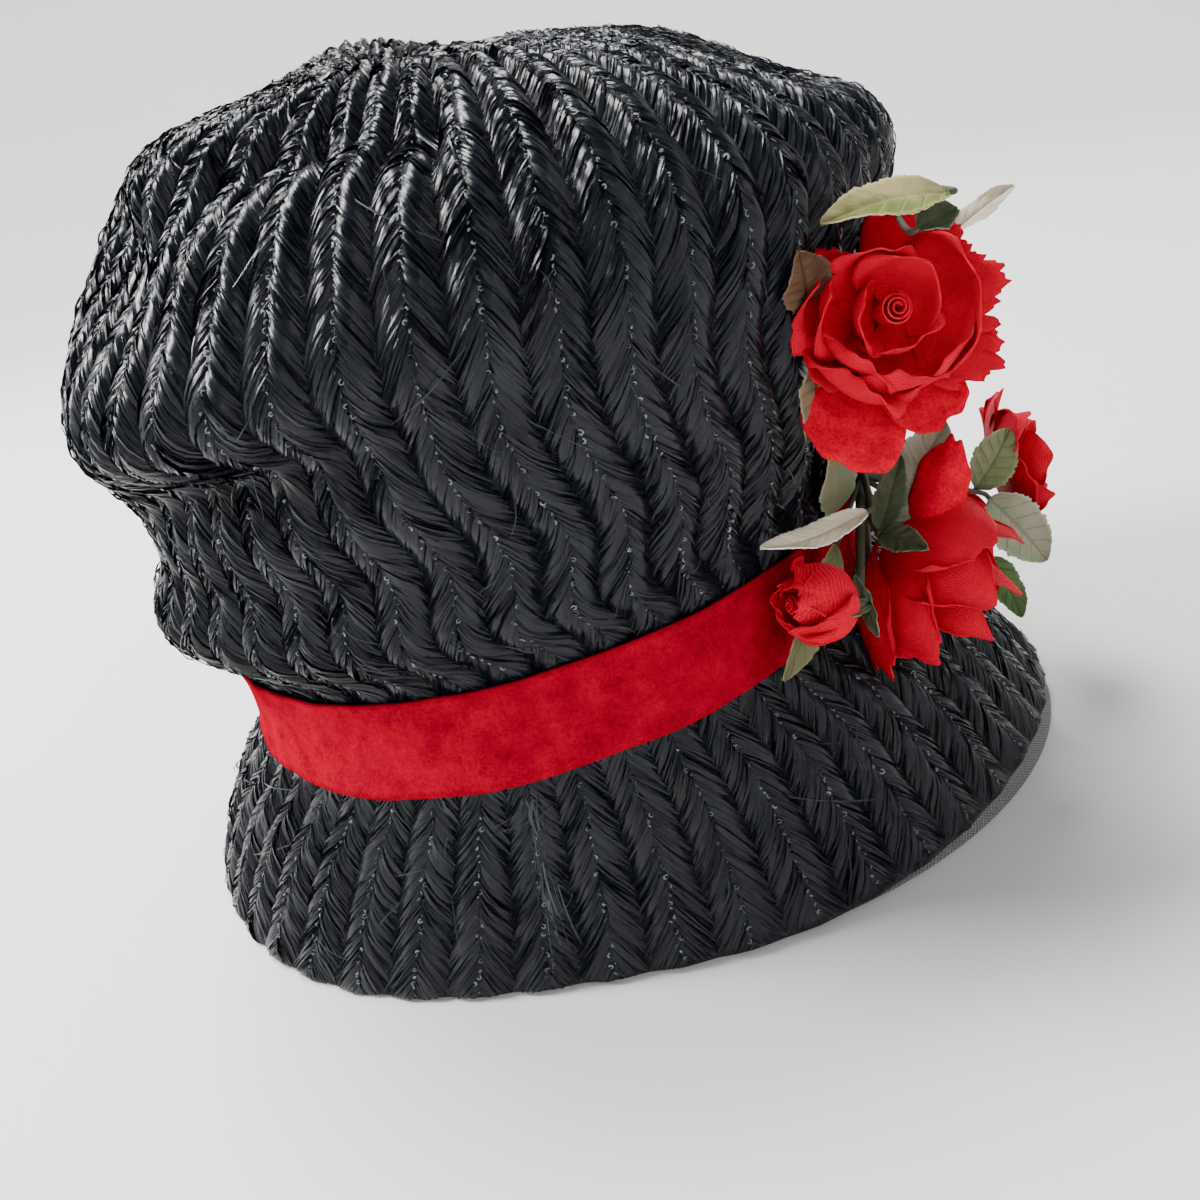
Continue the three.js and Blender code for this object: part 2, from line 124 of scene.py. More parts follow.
def mean_points(azimuth, row):
    """Points of the hat's mean surface at azimuths in degrees and rows of the table, in mm."""
    azimuth, row = np.broadcast_arrays(np.asarray(azimuth, float), np.asarray(row, float))
    z, tip, left, right, front, back = (section(name, row) for name in SECTION_COLUMNS[:6])
    cosine, sine = np.cos(np.radians(azimuth)), np.sin(np.radians(azimuth))
    x = (right - left) / 2 + (right + left) / 2 * cosine
    y = (back - front) / 2 + (back + front) / 2 * sine
    z = z + tip * cosine
    for values in FOLDS.values():
        fold = dict(zip(FOLD_COLUMNS, values))
        across = wrapped(azimuth - fold["turn"]) / fold["wide"]
        along = (row - fold["row"] - fold["slant"] * across) / fold["tall"]
        push = np.exp(-(across**2) - along**2)
        scale = 1 + fold["out"] * push / np.maximum(np.hypot(x, y), 1)
        x, y, z = x * scale, y * scale, z + fold["rise"] * push
    return np.stack((x, y, z), axis=-1)


def unit(vectors):
    return vectors / np.maximum(np.linalg.norm(vectors, axis=-1, keepdims=True), 1e-9)


def surface_normals(azimuth, row):
    """Outward directions of the mean surface."""
    here = mean_points(azimuth, row)
    along = mean_points(azimuth, row + 0.02) - here
    around = mean_points(azimuth + 1, row) - here
    normals = unit(np.cross(along, around))
    flat = np.clip(1 - row / 0.3, 0, 1)[..., None]
    return unit(normals * (1 - flat) + np.array((0, 0, 1.0)) * flat)


def offset_points(azimuth, row, out):
    """Points at distances out from the mean surface, in mm."""
    azimuth, row = np.broadcast_arrays(np.asarray(azimuth, float), np.asarray(row, float))
    return mean_points(azimuth, row) + surface_normals(azimuth, row) * np.asarray(out)[..., None]


def surface_lines(turn, row, out):
    """Lines at distances out from the mean surface, in mm, and its directions there."""
    return offset_points(turn, row, out), surface_normals(turn, row)


def rib_share(row):
    """The share of their height that the ribs keep towards the rim."""
    return 1 - RIM_FLATNESS * np.clip((row - RIM_FLAT_ROW) / RIM_FLAT_ROWS, 0, 1)


def straw_end(turn):
    """The row at which the straw ends."""
    return RIM - SHORT_ROWS * np.exp(-((wrapped(turn - SHORT_TURN) / SHORT_WIDE) ** 2))


def metres(points):
    return (np.asarray(points) + ORIGIN) * MM


class Signal:
    """What a shader node gives, so that shader maths reads as plain maths."""

    def __init__(self, shader, socket):
        self.shader = shader
        self.socket = socket

    def maths(self, operation, *values):
        return self.shader.node("ShaderNodeMath", {"operation": operation}, dict(enumerate(values)))

    def __add__(self, other):
        return self.maths("ADD", self, other)

    __radd__ = __add__

    def __sub__(self, other):
        return self.maths("SUBTRACT", self, other)

    def __rsub__(self, other):
        return self.maths("SUBTRACT", other, self)

    def __mul__(self, other):
        return self.maths("MULTIPLY", self, other)

    __rmul__ = __mul__

    def __abs__(self):
        return self.maths("ABSOLUTE", self)

    def above(self, limit):
        return self.maths("GREATER_THAN", self, limit)

    def fraction(self):
        return self.maths("FRACT", self)

    def larger(self, other):
        return self.maths("MAXIMUM", self, other)

    def wave(self):
        """From -1 to 1 once in each whole step."""
        return self.maths("SINE", self * (2 * math.pi))


class Shader:
    """A new material, with what its surface needs."""

    def __init__(self, name):
        self.material = bpy.data.materials.new(name)
        self.material.use_nodes = True
        self.tree = self.material.node_tree
        self.surface = self.tree.nodes["Principled BSDF"]

    def node(self, kind, settings=None, inputs=None, output=0):
        """Adds a node with its settings and the values or links of its sockets, and gives one output."""
        made = self.tree.nodes.new(kind)
        for key, value in (settings or {}).items():
            setattr(made, key, value)
        for key, value in (inputs or {}).items():
            self.feed(made.inputs[key], value)
        return Signal(self, made.outputs[output])

    def feed(self, socket, value):
        if isinstance(value, Signal):
            self.tree.links.new(value.socket, socket)
        elif socket.type == "RGBA":
            socket.default_value = (*value, 1.0)
        else:
            socket.default_value = value

    def paint(self, **looks):
        """Sets the surface's sockets, named in lower case."""
        names = {socket.name.lower().replace(" ", "_"): socket for socket in self.surface.inputs}
        for name, value in looks.items():
            self.feed(names[name], value)
        return self.material

    def uv(self, name):
        return self.node("ShaderNodeUVMap", {"uv_map": name})

    def attribute(self, name):
        return self.node("ShaderNodeAttribute", {"attribute_name": name}, output=2)

    def place(self):
        return self.node("ShaderNodeTexCoord", output=3)

    def stretched(self, vector, scale):
        settings = {"operation": "MULTIPLY"}
        return self.node("ShaderNodeVectorMath", settings, {0: vector, 1: scale})

    def parts(self, vector):
        """The vector's x and y."""
        return [self.node("ShaderNodeSeparateXYZ", {}, {0: vector}, axis) for axis in (0, 1)]

    def noise(self, vector, scale, detail=2.0, rough=0.5):
        inputs = {"Vector": vector, "Scale": scale, "Detail": detail, "Roughness": rough}
        return self.node("ShaderNodeTexNoise", {}, inputs)

    def mixed(self, factor, low, high):
        """A colour between two colours."""
        return self.node("ShaderNodeMix", {"data_type": "RGBA"}, {0: factor, 6: low, 7: high}, 2)

    def stepped(self, value, low, high):
        """0 below low and 1 above high, and a straight way between."""
        inputs = {"Value": value, "From Min": low, "From Max": high}
        return self.node("ShaderNodeMapRange", {}, inputs)

    def bump(self, height, distance, strength=1.0):
        inputs = {"Height": height, "Distance": distance, "Strength": strength}
        return self.node("ShaderNodeBump", {}, inputs)


def finished(piece, material, replaced=()):
    """Gives a piece its material, puts it on the hat's body, and hides the CAD nodes it stands for."""
    piece.data.materials.append(material)
    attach(piece, "root")
    if replaced:
        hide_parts(*replaced)


def object_of(name, mesh):
    mesh.name = name
    piece = bpy.data.objects.new(name, mesh)
    bpy.context.scene.collection.objects.link(piece)
    return piece


def add_sheet(bm, across, along, shape, size):
    """Adds a grid of cloth.  shape gives points in mm for u and v from 0 to 1; size is its cut in mm."""
    uv = bm.loops.layers.uv.get("cloth") or bm.loops.layers.uv.new("cloth")
    made = bmesh.ops.create_grid(bm, x_segments=across, y_segments=along, size=0.5)["verts"]
    flat = np.array([vert.co[:2] for vert in made]) + 0.5
    faces = {face for vert in made for face in vert.link_faces}
    for face in faces:
        face.smooth = True
        for loop in face.loops:
            u, v = loop.vert.co.x + 0.5, loop.vert.co.y + 0.5
            loop[uv].uv = (u * size[0], v * size[1])
    for vert, point in zip(made, metres(shape(flat[:, 0], flat[:, 1]))):
        vert.co = point
    return made


def mesh_of(bm, weld=0.0):
    if weld:
        bmesh.ops.remove_doubles(bm, verts=bm.verts, dist=weld)
    mesh = bpy.data.meshes.new("piece")
    bm.to_mesh(mesh)
    bm.free()
    return mesh


def thickened(piece, thickness, offset=-1.0):
    wall = piece.modifiers.new("thickness", "SOLIDIFY")
    wall.thickness = thickness
    wall.offset = offset
    wall.use_even_offset = False


def shaded(colour, share):
    return tuple(share * value for value in colour)


def flat_form(across, along):
    """One flat strand as a grid: where its corners are across and along, and the corners of its faces."""
    bm = bmesh.new()
    bmesh.ops.create_grid(bm, x_segments=across, y_segments=along, size=1.0)
    corners = np.array([vert.co[:2] for vert in bm.verts])
    faces = np.array([[vert.index for vert in face.verts] for face in bm.faces])
    bm.free()
    return corners, faces


def joined_strands(name, centres, faces_out, widths, arch, rng, across=2):
    """One mesh of flat strands along rows of centres, in mm, each turned to face its own way."""
    count, steps = centres.shape[:2]
    corners, faces = flat_form(across, steps - 1)
    side_way = unit(np.cross(unit(np.gradient(centres, axis=1)), faces_out))
    step = np.rint((corners[:, 1] + 1) / 2 * (steps - 1)).astype(int)
    share = corners[:, 0]
    half = widths[:, step] / 2
    lift = arch * (1 - share**2)
    points = centres[:, step] + side_way[:, step] * (half * share)[..., None]
    points += faces_out[:, step] * np.broadcast_to(lift, half.shape)[..., None]
    points = metres(points)
    points[..., 2] = np.maximum(points[..., 2], 0.0)
    run = np.cumsum(np.linalg.norm(np.diff(centres, axis=1), axis=2), axis=1)
    run = np.concatenate((np.zeros((count, 1)), run), axis=1) + rng.uniform(0, STRAND_SPREAD[1], (count, 1))
    uv = np.stack((half * share + rng.uniform(0, STRAND_SPREAD[0], (count, 1)), run[:, step]), axis=-1)
    shade = np.repeat(rng.random(count), len(corners))

    every = (faces[None] + (np.arange(count) * len(corners))[:, None, None]).reshape(-1, 4)
    mesh = bpy.data.meshes.new(name)
    mesh.vertices.add(points.size // 3)
    mesh.vertices.foreach_set("co", points.ravel())
    mesh.loops.add(every.size)
    mesh.loops.foreach_set("vertex_index", every.ravel())
    mesh.polygons.add(len(every))
    mesh.polygons.foreach_set("loop_start", np.arange(0, every.size, 4))
    mesh.polygons.foreach_set("use_smooth", np.ones(len(every), bool))
    mesh.update(calc_edges=True)
    mesh.uv_layers.new(name="strand").data.foreach_set("uv", uv.reshape(-1, 2)[every.ravel()].ravel())
    mesh.attributes.new("shade", "FLOAT", "POINT").data.foreach_set("value", shade)
    return object_of(name, mesh)


def rolled(side_way, faces_out, roll):
    """The facing of strands after a roll about their own length, in radians."""
    roll = np.broadcast_to(roll, faces_out.shape[:-1])[..., None]
    return unit(faces_out * np.cos(roll) + side_way * np.sin(roll))


def braid_strands(rng, braids, rows, spacing, steps, width, lift, wild):
    """Centres, facings and widths of the strands of a ring of braids between two rows.

    Strands run from the ridge on each side of a braid down into its groove.
    """
    from_row, to_row = rows
    half_turn = 180 / braids
    ridges = np.repeat(np.arange(braids) * 360 / braids, 2)
    sides = np.tile((-1.0, 1.0), braids)
    fine = np.linspace(max(from_row - 0.4, 0.03), min(to_row + 0.7, RIM), 260)
    twist = section("twist", fine)
    middle = mean_points(ridges[:, None] + sides[:, None] * half_turn / 2 + twist, fine)
    ridge_line = mean_points(ridges[:, None] + twist, fine)
    groove_line = mean_points(ridges[:, None] + sides[:, None] * half_turn + twist, fine)
    spans = np.linalg.norm(groove_line - ridge_line, axis=2)
    lengths = np.cumsum(np.linalg.norm(np.diff(middle, axis=1), axis=2), axis=1)
    runs = np.concatenate((np.zeros((len(sides), 1)), lengths), axis=1)
    steep = 1 / math.tan(bpy.context.scene.hat_straw.strand_angle)

    paths, facings, thick = [], [], []
    for column, (ridge, side) in enumerate(zip(ridges, sides)):
        first = np.interp(from_row, fine, runs[column])
        last = np.interp(to_row, fine, runs[column])
        rim = np.interp(straw_end(ridge + side * half_turn / 2), fine, runs[column])
        start = np.arange(first, last, spacing) + rng.uniform(0, spacing)
        start = start + rng.normal(0, 0.12 * spacing, len(start))
        span = np.interp(start, runs[column], spans[column])
        reach = np.maximum(span, 3) * steep * rng.uniform(0.85, 1.15, len(start))
        begin = rng.uniform(-0.1, 0.06, len(start))
        end = np.minimum(rng.uniform(0.96, 1.12, len(start)), (rim - start) / (reach + 1.2))
        kept = end - begin > 0.2
        start, span, reach, begin, end = (values[kept, None] for values in (start, span, reach, begin, end))
        share = np.linspace(0, 1, steps)
        t = begin + (end - begin) * share
        row = np.interp(start + reach * t, runs[column], fine)
        bow = rng.normal(0, 0.05, start.shape) * np.sin(math.pi * share)
        turn = ridge + side * half_turn * (t + bow) + section("twist", row)
        scale = section("relief", row) / RIB * rib_share(row)
        mound = RIDGE_HEIGHT * np.cos(math.pi / 2 * np.clip(t, 0, 1.1)) ** 2
        mound = mound + SWELL_HEIGHT * np.sin(math.pi * np.clip(t, 0, 1))
        bundle = np.repeat(rng.normal(0, 1, len(start) // 3 + 1), 3)[: len(start), None]
        loose = wild * 0.25 * (bundle + rng.normal(0, 0.6, start.shape))
        out = scale * (mound - BRAID_SINK) + lift + loose
        under_band = (row > BAND_ROWS[0]) & (row < BAND_ROWS[1])
        out = np.where(under_band, np.minimum(out, BAND_ROOM), out)
        tuck = np.clip((start + reach * t - rim + TUCK_LENGTH) / TUCK_LENGTH, 0, 1)
        out = out - tuck**2 * (out + TUCK_DEPTH)
        centres, normals = surface_lines(turn, row, out)
        ahead = unit(np.gradient(centres, axis=1))
        normals = unit(normals - ahead * np.sum(normals * ahead, axis=2, keepdims=True))
        side_way = np.cross(ahead, normals)
        slope = np.gradient(mound, axis=1) / np.maximum(np.gradient(t, axis=1), 1e-6)
        slope = slope * scale / np.maximum(span, 2)
        lean = np.arctan(side * slope * math.cos(bpy.context.scene.hat_straw.strand_angle))
        roll = lean + wild * (0.34 * bundle + rng.normal(0, 0.26, start.shape)) - side * 0.12
        paths.append(centres)
        facings.append(rolled(side_way, normals, roll))
        taper = np.minimum(1, 0.45 + 4 * share) * np.minimum(1, 0.25 + 2.4 * (1 - share))
        size = np.minimum(width, 0.75 * span) * rng.uniform(0.75, 1.3, start.shape)
        thick.append(size * taper)
    return np.concatenate(paths), np.concatenate(facings), np.concatenate(thick)


def straw_material(name, colour, glint, roughness):
    """Glossy flat straw with fine filaments along each strand."""
    shader = Shader(name)
    shade = shader.attribute("shade")
    strand = shader.uv("strand")
    filaments = shader.noise(shader.stretched(strand, (3.2, 0.16, 1.0)), 1.0, 3.0, 0.6)
    threads = shader.noise(shader.stretched(strand, (9.0, 0.3, 1.0)), 1.0, 1.0)
    depth = filaments * 0.65 + threads * 0.35
    tone = shader.stepped(depth * 0.7 + shade * 0.3, 0.35, 0.75)
    return shader.paint(
        base_color=shader.mixed(tone, colour, glint),
        roughness=roughness + 0.16 * shade * filaments,
        specular_ior_level=0.24,
        normal=shader.bump(depth, 0.0002, 0.5),
    )


def reverse_material(name, colour):
    """The straw's reverse, with its herringbone pressed through the stiffening net."""
    shader = Shader(name)
    across, along = shader.parts(shader.uv("cloth"))
    folded = abs(across.fraction() - 0.5) * 2
    ribs = (along * 0.55 + folded * 2.2).wave()
    mesh = (along * 1.6).wave().larger((across * 9).wave())
    height = ribs * 0.5 + mesh * 0.35 + folded * 0.6
    grain = shader.noise(shader.place(), 900.0, 3.0)
    return shader.paint(
        base_color=shader.mixed(grain, shaded(colour, 0.5), shaded(colour, 1.6)),
        roughness=0.42 + 0.3 * grain,
        normal=shader.bump(height, 0.0005, 0.8),
    )


def length_of(name, description, default):
    return FloatProperty(name=name, description=description, default=default, unit="LENGTH")


def angle_of(name, description, default):
    return FloatProperty(name=name, description=description, default=default, unit="ROTATION")


def power_of(name, description, default):
    return FloatProperty(name=name, description=description, default=default, unit="POWER")


def colour_of(name, description, default):
    return FloatVectorProperty(name=name, description=description, default=default, subtype="COLOR")


class StrawSizes(bpy.types.PropertyGroup):
    strand_width: length_of("Strand width", "Width of one flat strand", 0.00145)
    strand_spacing: length_of("Strand spacing", "Distance between strands along a braid", 0.00155)
    strand_angle: angle_of("Strand angle", "Between a strand and its braid", math.radians(34))
    stitch_spacing: length_of("Stitch spacing", "Distance between the stitches on a ridge", 0.0019)
    colour: colour_of("Straw", "Colour of the straw", (0.0018, 0.0024, 0.0045))
    glint: colour_of("Straw edge", "Colour of the paler filaments", (0.009, 0.011, 0.017))


class BandSizes(bpy.types.PropertyGroup):
    thickness: length_of("Thickness", "Of the velvet ribbon", 0.0008)
    colour: colour_of("Velvet", "Colour of the ribbon", (0.42, 0.0, 0.019))


class SpraySizes(bpy.types.PropertyGroup):
    cloth_thickness: length_of("Cloth thickness", "Of the petals", 0.0004)
    petals: colour_of("Petals", "Colour of the petals", (0.82, 0.0, 0.028))


class StageSizes(bpy.types.PropertyGroup):
    floor: colour_of("Floor", "Colour of the floor and backdrop", (0.7, 0.7, 0.69))
    key_power: power_of("Key light", "Power of the upper left light", 52)
    fill_power: power_of("Fill light", "Power of the front light", 5)
    top_power: power_of("Top light", "Power of the light above", 140)


def hat_sheet(name, columns, rows, row_of, out_of, size):
    """A closed ring of cloth round the hat, from its upper edge at v 0 to its lower edge at v 1."""
    bm = bmesh.new()

    def shape(u, v):
        turn = 360 * u
        row = row_of(turn, v)
        points = offset_points(turn + section("twist", row), row, out_of(turn, row))
        points[:, 2] = np.maximum(points[:, 2], 0.4)
        return points

    add_sheet(bm, columns, rows, shape, size)
    mesh = mesh_of(bm, weld=1e-6)
    mesh.flip_normals()
    return object_of(name, mesh)


def rib_out(turn, row):
    """Height of the lining under the braids, in mm."""
    return section("relief", row) * np.cos(np.radians(BRAIDS * turn)) * rib_share(row) - LINING_DEPTH


# First row and rows of the crown's lining, and first row of the brim's
CROWN_TOP, CROWN_ROWS, BRIM_TOP = 0.02, 8.46, 8.52


class HAT_OT_linings(bpy.types.Operator):
    """Shapes the net linings that carry the straw of the crown and the brim"""

    bl_idname = "hat.linings"
    bl_label = "Linings"

    def execute(self, context):
        straw = context.scene.hat_straw
        reverse = reverse_material("straw_reverse", tuple(straw.glint))

        def crown_row(turn, v):
            return CROWN_TOP + CROWN_ROWS * v

        def brim_row(turn, v):
            return BRIM_TOP + (straw_end(turn) - BRIM_TOP) * v

        crown = hat_sheet("crown_lining", 192, 48, crown_row, rib_out, (BRAIDS, 240))
        brim = hat_sheet("brim_lining", 192, 16, brim_row, rib_out, (BRAIDS, 90))
        for piece, node in ((crown, "crown"), (brim, "brim")):
            thickened(piece, LINING_THICKNESS)
            finished(piece, reverse, [node])
        return {"FINISHED"}


# Rings of braids: how many, and their first and last row
TIERS = {
    "crown_braids_top": ((12, 0.12, 0.55), (24, 0.55, 1.15), (BRAIDS, 1.15, 3.1)),
    "crown_braids_middle": ((BRAIDS, 3.1, 5.2),),
    "crown_braids_low": ((BRAIDS, 5.2, 8.2),),
    "brim_braids": ((BRAIDS, 8.62, 11.0),),
}
# Layers of strands, by the ending of their name.  gap and size are shares of a strand's spacing and width,
# steps and across its faces each way, lift its height over the braid in mm, and wild how loose it lies.
LAYERS = {
    "": {"gap": 1.0, "size": 1.0, "steps": 7, "across": 2, "lift": 0.0, "wild": 0.8},
    "_fine": {"gap": 0.8, "size": 0.32, "steps": 6, "across": 1, "lift": 0.28, "wild": 1.3},
}
STRAND_ARCH = 0.12  # how far a strand's middle stands over its edges, as a share of its width


class HAT_OT_braids(bpy.types.Operator):
    """Lays the flat straw strands of the fishtail braids"""

    bl_idname = "hat.braids"
    bl_label = "Braids"

    def execute(self, context):
        straw = context.scene.hat_straw
        glossy = straw_material("straw", tuple(straw.colour), tuple(straw.glint), 0.19)
        rng = np.random.default_rng(SEED)
        width, spacing = straw.strand_width / MM, straw.strand_spacing / MM
        for name, tiers in TIERS.items():
            for ending, layer in LAYERS.items():
                gap, size = layer["gap"] * spacing, layer["size"] * width
                looks = (gap, layer["steps"], size, layer["lift"], layer["wild"])
                made = [braid_strands(rng, braids, rows, *looks) for braids, *rows in tiers]
                parts = [np.concatenate(arrays) for arrays in zip(*made)]
                piece = joined_strands(name + ending, *parts, STRAND_ARCH * size, rng, layer["across"])
                finished(piece, glossy)
        return {"FINISHED"}


# Rows without stitches round the band, and the rows from the last stitch to the straw's end
STITCH_ROWS, STITCH_RIM_GAP = (7.85, 9.15), 0.07
# Radius and opening of a stitch's loop, its height and its width, in mm and degrees
STITCH_LOOP, STITCH_OPENING, STITCH_OUT, STITCH_WIDTH = (0.22, 0.6), (70, 150), 1.7, (0.2, 0.5)


class HAT_OT_stitches(bpy.types.Operator):
    """Sews the short stitches along the ridges, made bright with pale grey painted on as their glints"""

    bl_idname = "hat.stitches"
    bl_label = "Stitches"

    def execute(self, context):
        straw = context.scene.hat_straw
        rng = np.random.default_rng(SEED + 1)
        # The stitches' pale grey is a painted highlight: it stands in for the glints of shiny thread.
        shiny_painted_glint = straw_material("straw_stitch", tuple(straw.glint), (0.3, 0.32, 0.35), 0.15)
        spacing = straw.stitch_spacing / MM
        fine = np.linspace(1.2, RIM, 400)
        twist = section("twist", fine)
        paths, facings, widths = [], [], []
        for ridge in np.arange(BRAIDS) * 360 / BRAIDS:
            line = mean_points(ridge + twist, fine)
            run = np.concatenate(([0], np.cumsum(np.linalg.norm(np.diff(line, axis=0), axis=1))))
            start = np.arange(1, run[-1] - 1.2, spacing)
            start = (start + rng.normal(0, 0.35, len(start)))[rng.random(len(start)) > 0.15][:, None]
            at_row = np.interp(start[:, 0], run, fine)
            on_brim = (at_row > STITCH_ROWS[1]) & (at_row < straw_end(ridge) - STITCH_RIM_GAP)
            start = start[(at_row < STITCH_ROWS[0]) | on_brim]
            loop = rng.uniform(*STITCH_LOOP, start.shape)
            opened = np.radians(rng.uniform(*STITCH_OPENING, start.shape)) * np.linspace(-1, 1, 5)
            tilt = rng.uniform(-0.9, 0.9, start.shape)
            row = np.interp(start + loop * np.sin(opened + tilt), run, fine)
            aside = loop * (np.cos(opened + tilt) - 0.5) * rng.choice((-1, 1), start.shape)
            aside = aside + rng.normal(0, 0.4, start.shape)
            centre_reach = np.interp(start, run, np.hypot(line[:, 0], line[:, 1]))
            turn = ridge + section("twist", row) + np.degrees(aside / np.maximum(centre_reach, 8))
            scale = section("relief", row) / RIB
            out = scale * (STITCH_OUT + rng.normal(0, 0.25, start.shape) + 0.3 * np.cos(opened))
            centres, normals = surface_lines(turn, row, out)
            side_way = np.cross(unit(np.gradient(centres, axis=1)), normals)
            paths.append(centres)
            facings.append(rolled(side_way, normals, rng.normal(0, 0.5, (len(centres), 1))))
            widths.append(rng.uniform(*STITCH_WIDTH, (len(centres), 1)) * np.array((0.6, 1, 1, 1, 0.6)))
        parts = [np.concatenate(arrays) for arrays in (paths, facings, widths)]
        finished(joined_strands("stitches", *parts, 0.15, rng), shiny_painted_glint)
        return {"FINISHED"}


FIBRES, SEAM_FIBRES = 300, 50
# First and last row where fibres start on the brim and on the crown, and the row where they stop
BRIM_FIBRES, CROWN_FIBRES = (9.2, 10.6, 10.85), (0.8, 7.4, 7.7)
LOOSE_FIBRE = ((-46.1, 27.2, 215.3), (-54.3, 28.8, 218.9))  # ends of the one that stands out at the top


class HAT_OT_stray_fibres(bpy.types.Operator):
    """Pulls loose fibres out of the straw, and frayed ends out of the brim's seam"""

    bl_idname = "hat.stray_fibres"
    bl_label = "Stray fibres"

    def execute(self, context):
        rng = np.random.default_rng(SEED + 2)
        straw = context.scene.hat_straw
        fibre = straw_material("straw_fibre", tuple(straw.glint), (0.03, 0.034, 0.04), 0.22)
        share = np.linspace(0, 1, 8)
        taper = np.minimum(1, 0.3 + 3 * (1 - share))

        column = (FIBRES, 1)
        on_brim = rng.random(column) < 0.25
        starts = [rng.uniform(*rows[:2], column) for rows in (BRIM_FIBRES, CROWN_FIBRES)]
        start = np.where(on_brim, *starts)
        length = rng.uniform(0.15, 0.5, column)
        turn = rng.uniform(0, 360, column) + rng.normal(0, 5, column) * share
        turn = turn + rng.normal(0, 2.5, column) * share**2
        row = np.minimum(start + length * share, np.where(on_brim, BRIM_FIBRES[2], CROWN_FIBRES[2]))
        out = 1.3 + rng.uniform(0.2, 2.4, column) * np.sin(math.pi * share) ** 2
        centres, normals = surface_lines(turn + section("twist", row), row, out)
        widths = rng.uniform(0.16, 0.34, column) * taper
        loose = np.linspace(LOOSE_FIBRE[0], LOOSE_FIBRE[1], len(share))[None]
        centres = np.concatenate((centres, loose))
        normals = np.concatenate((normals, np.broadcast_to((0.0, 0.0, 1.0), loose.shape)))
        widths = np.concatenate((widths, np.full((1, len(share)), 0.3)))
        piece = joined_strands("stray_fibres", centres, normals, widths, 0.03, rng, 1)
        finished(piece, fibre)

        # Frayed ends where the strip of the brim closes, in a seam down its front
        column = (SEAM_FIBRES, 1)
        start = rng.uniform(9.15, 10.4, column)
        row = np.minimum(start + rng.uniform(0.25, 0.8, column) * share, 10.97)
        turn = SEAM_TURN - SEAM_LEAN * (row - 9) + rng.normal(0, 0.55, column)
        turn = turn + rng.normal(0, 0.5, column) * share + rng.normal(0, 0.4, column) * share**3
        out = 1.0 + rng.uniform(0.0, 0.9, column) * (0.6 + np.sin(math.pi * share))
        widths = rng.uniform(0.18, 0.5, column) * taper
        piece = joined_strands("brim_seam", *surface_lines(turn, row, out), widths, 0.05, rng, 1)
        pale = straw_material("straw_seam", (0.01, 0.012, 0.016), (0.09, 0.095, 0.11), 0.2)
        finished(piece, pale)
        return {"FINISHED"}


RED_SHEEN = (1.0, 0.03, 0.06)


def velvet_material(name, colour):
    """Red velvet with a short brushed nap, mottled like crushed pile, with its sheen painted in as light
    and dark patches.
    """
    shader = Shader(name)
    place = shader.place()
    nap = shader.noise(place, 1300.0, 2.0)
    brushed = shader.noise(place, 90.0, 4.0, 0.65)
    pressed = shader.noise(place, 260.0, 2.0)
    # Painted sheen: these mottled light and dark patches of the red stand in for light on the crushed pile.
    tone = shader.stepped(nap * 0.3 + brushed * 0.5 + pressed * 0.2, 0.36, 0.64)
    return shader.paint(
        base_color=shader.mixed(tone, shaded(colour, 0.45), colour),
        roughness=0.9,
        sheen_tint=RED_SHEEN,
        sheen_weight=0.03,
        sheen_roughness=0.3,
        specular_ior_level=0.0,
        normal=shader.bump(nap * 0.6 + pressed * 0.6, 0.0004, 0.7),
    )


class HAT_OT_velvet_band(bpy.types.Operator):
    """Wraps the velvet ribbon round the crown"""

    bl_idname = "hat.velvet_band"
    bl_label = "Velvet band"

    def execute(self, context):
        band = context.scene.hat_band

        def row_of(turn, v):
            waver = 0.02 * np.sin(np.radians(5 * turn)) + 0.012 * np.sin(np.radians(13 * turn + 40))
            return BAND_TOP + v + waver * (0.6 + 0.4 * v)

        def out_of(turn, row):
            v = np.clip(row - BAND_TOP, 0, 1)
            creases = 0.28 * np.sin(np.radians(4 * turn) + 5 * v) * np.sin(math.pi * v)
            ripple = 0.14 * np.sin(np.radians(23 * turn) + 9 * v)
            ripple = ripple + 0.1 * np.sin(np.radians(41 * turn) - 7 * v)
            return 1.75 + creases + ripple + 0.5 * (1 - v) ** 3 + 0.25 * v**4

        piece = hat_sheet("velvet_band", 288, 12, row_of, out_of, (600, 27))
        thickened(piece, band.thickness)
        finished(piece, velvet_material("velvet", tuple(band.colour)), ["band"])
        return {"FINISHED"}


class HAT_OT_rim_net(bpy.types.Operator):
    """Stretches the stiff net under the brim"""

    bl_idname = "hat.rim_net"
    bl_label = "Rim net"

    def execute(self, context):
        shader = Shader("net")
        across, along = shader.parts(shader.uv("cloth"))
        waver = shader.noise(shader.place(), 220.0, 2.0) * 1.4
        slant, counter = (across + along + waver) * 0.95, (across - along + waver) * 0.95
        threads = abs(slant.fraction() - 0.5).larger(abs(counter.fraction() - 0.5))
        net = shader.paint(
            # Painted light: the black net's threads are painted pale grey to stand in for lit ground seen
            # through it.
            base_color=(0.14, 0.145, 0.15),
            roughness=0.45,
            alpha=threads.above(0.4),
            normal=shader.bump(threads, 0.0004, 0.6),
        )

        def row_of(turn, v):
            return 10 + v * 0.995

        def out_of(turn, row):
            return np.full_like(row, -NET_DEPTH)

        piece = hat_sheet("rim_net", 192, 8, row_of, out_of, (640, 32))
        thickened(piece, NET_THICKNESS)
        finished(piece, net, ["brim_net"])
        return {"FINISHED"}


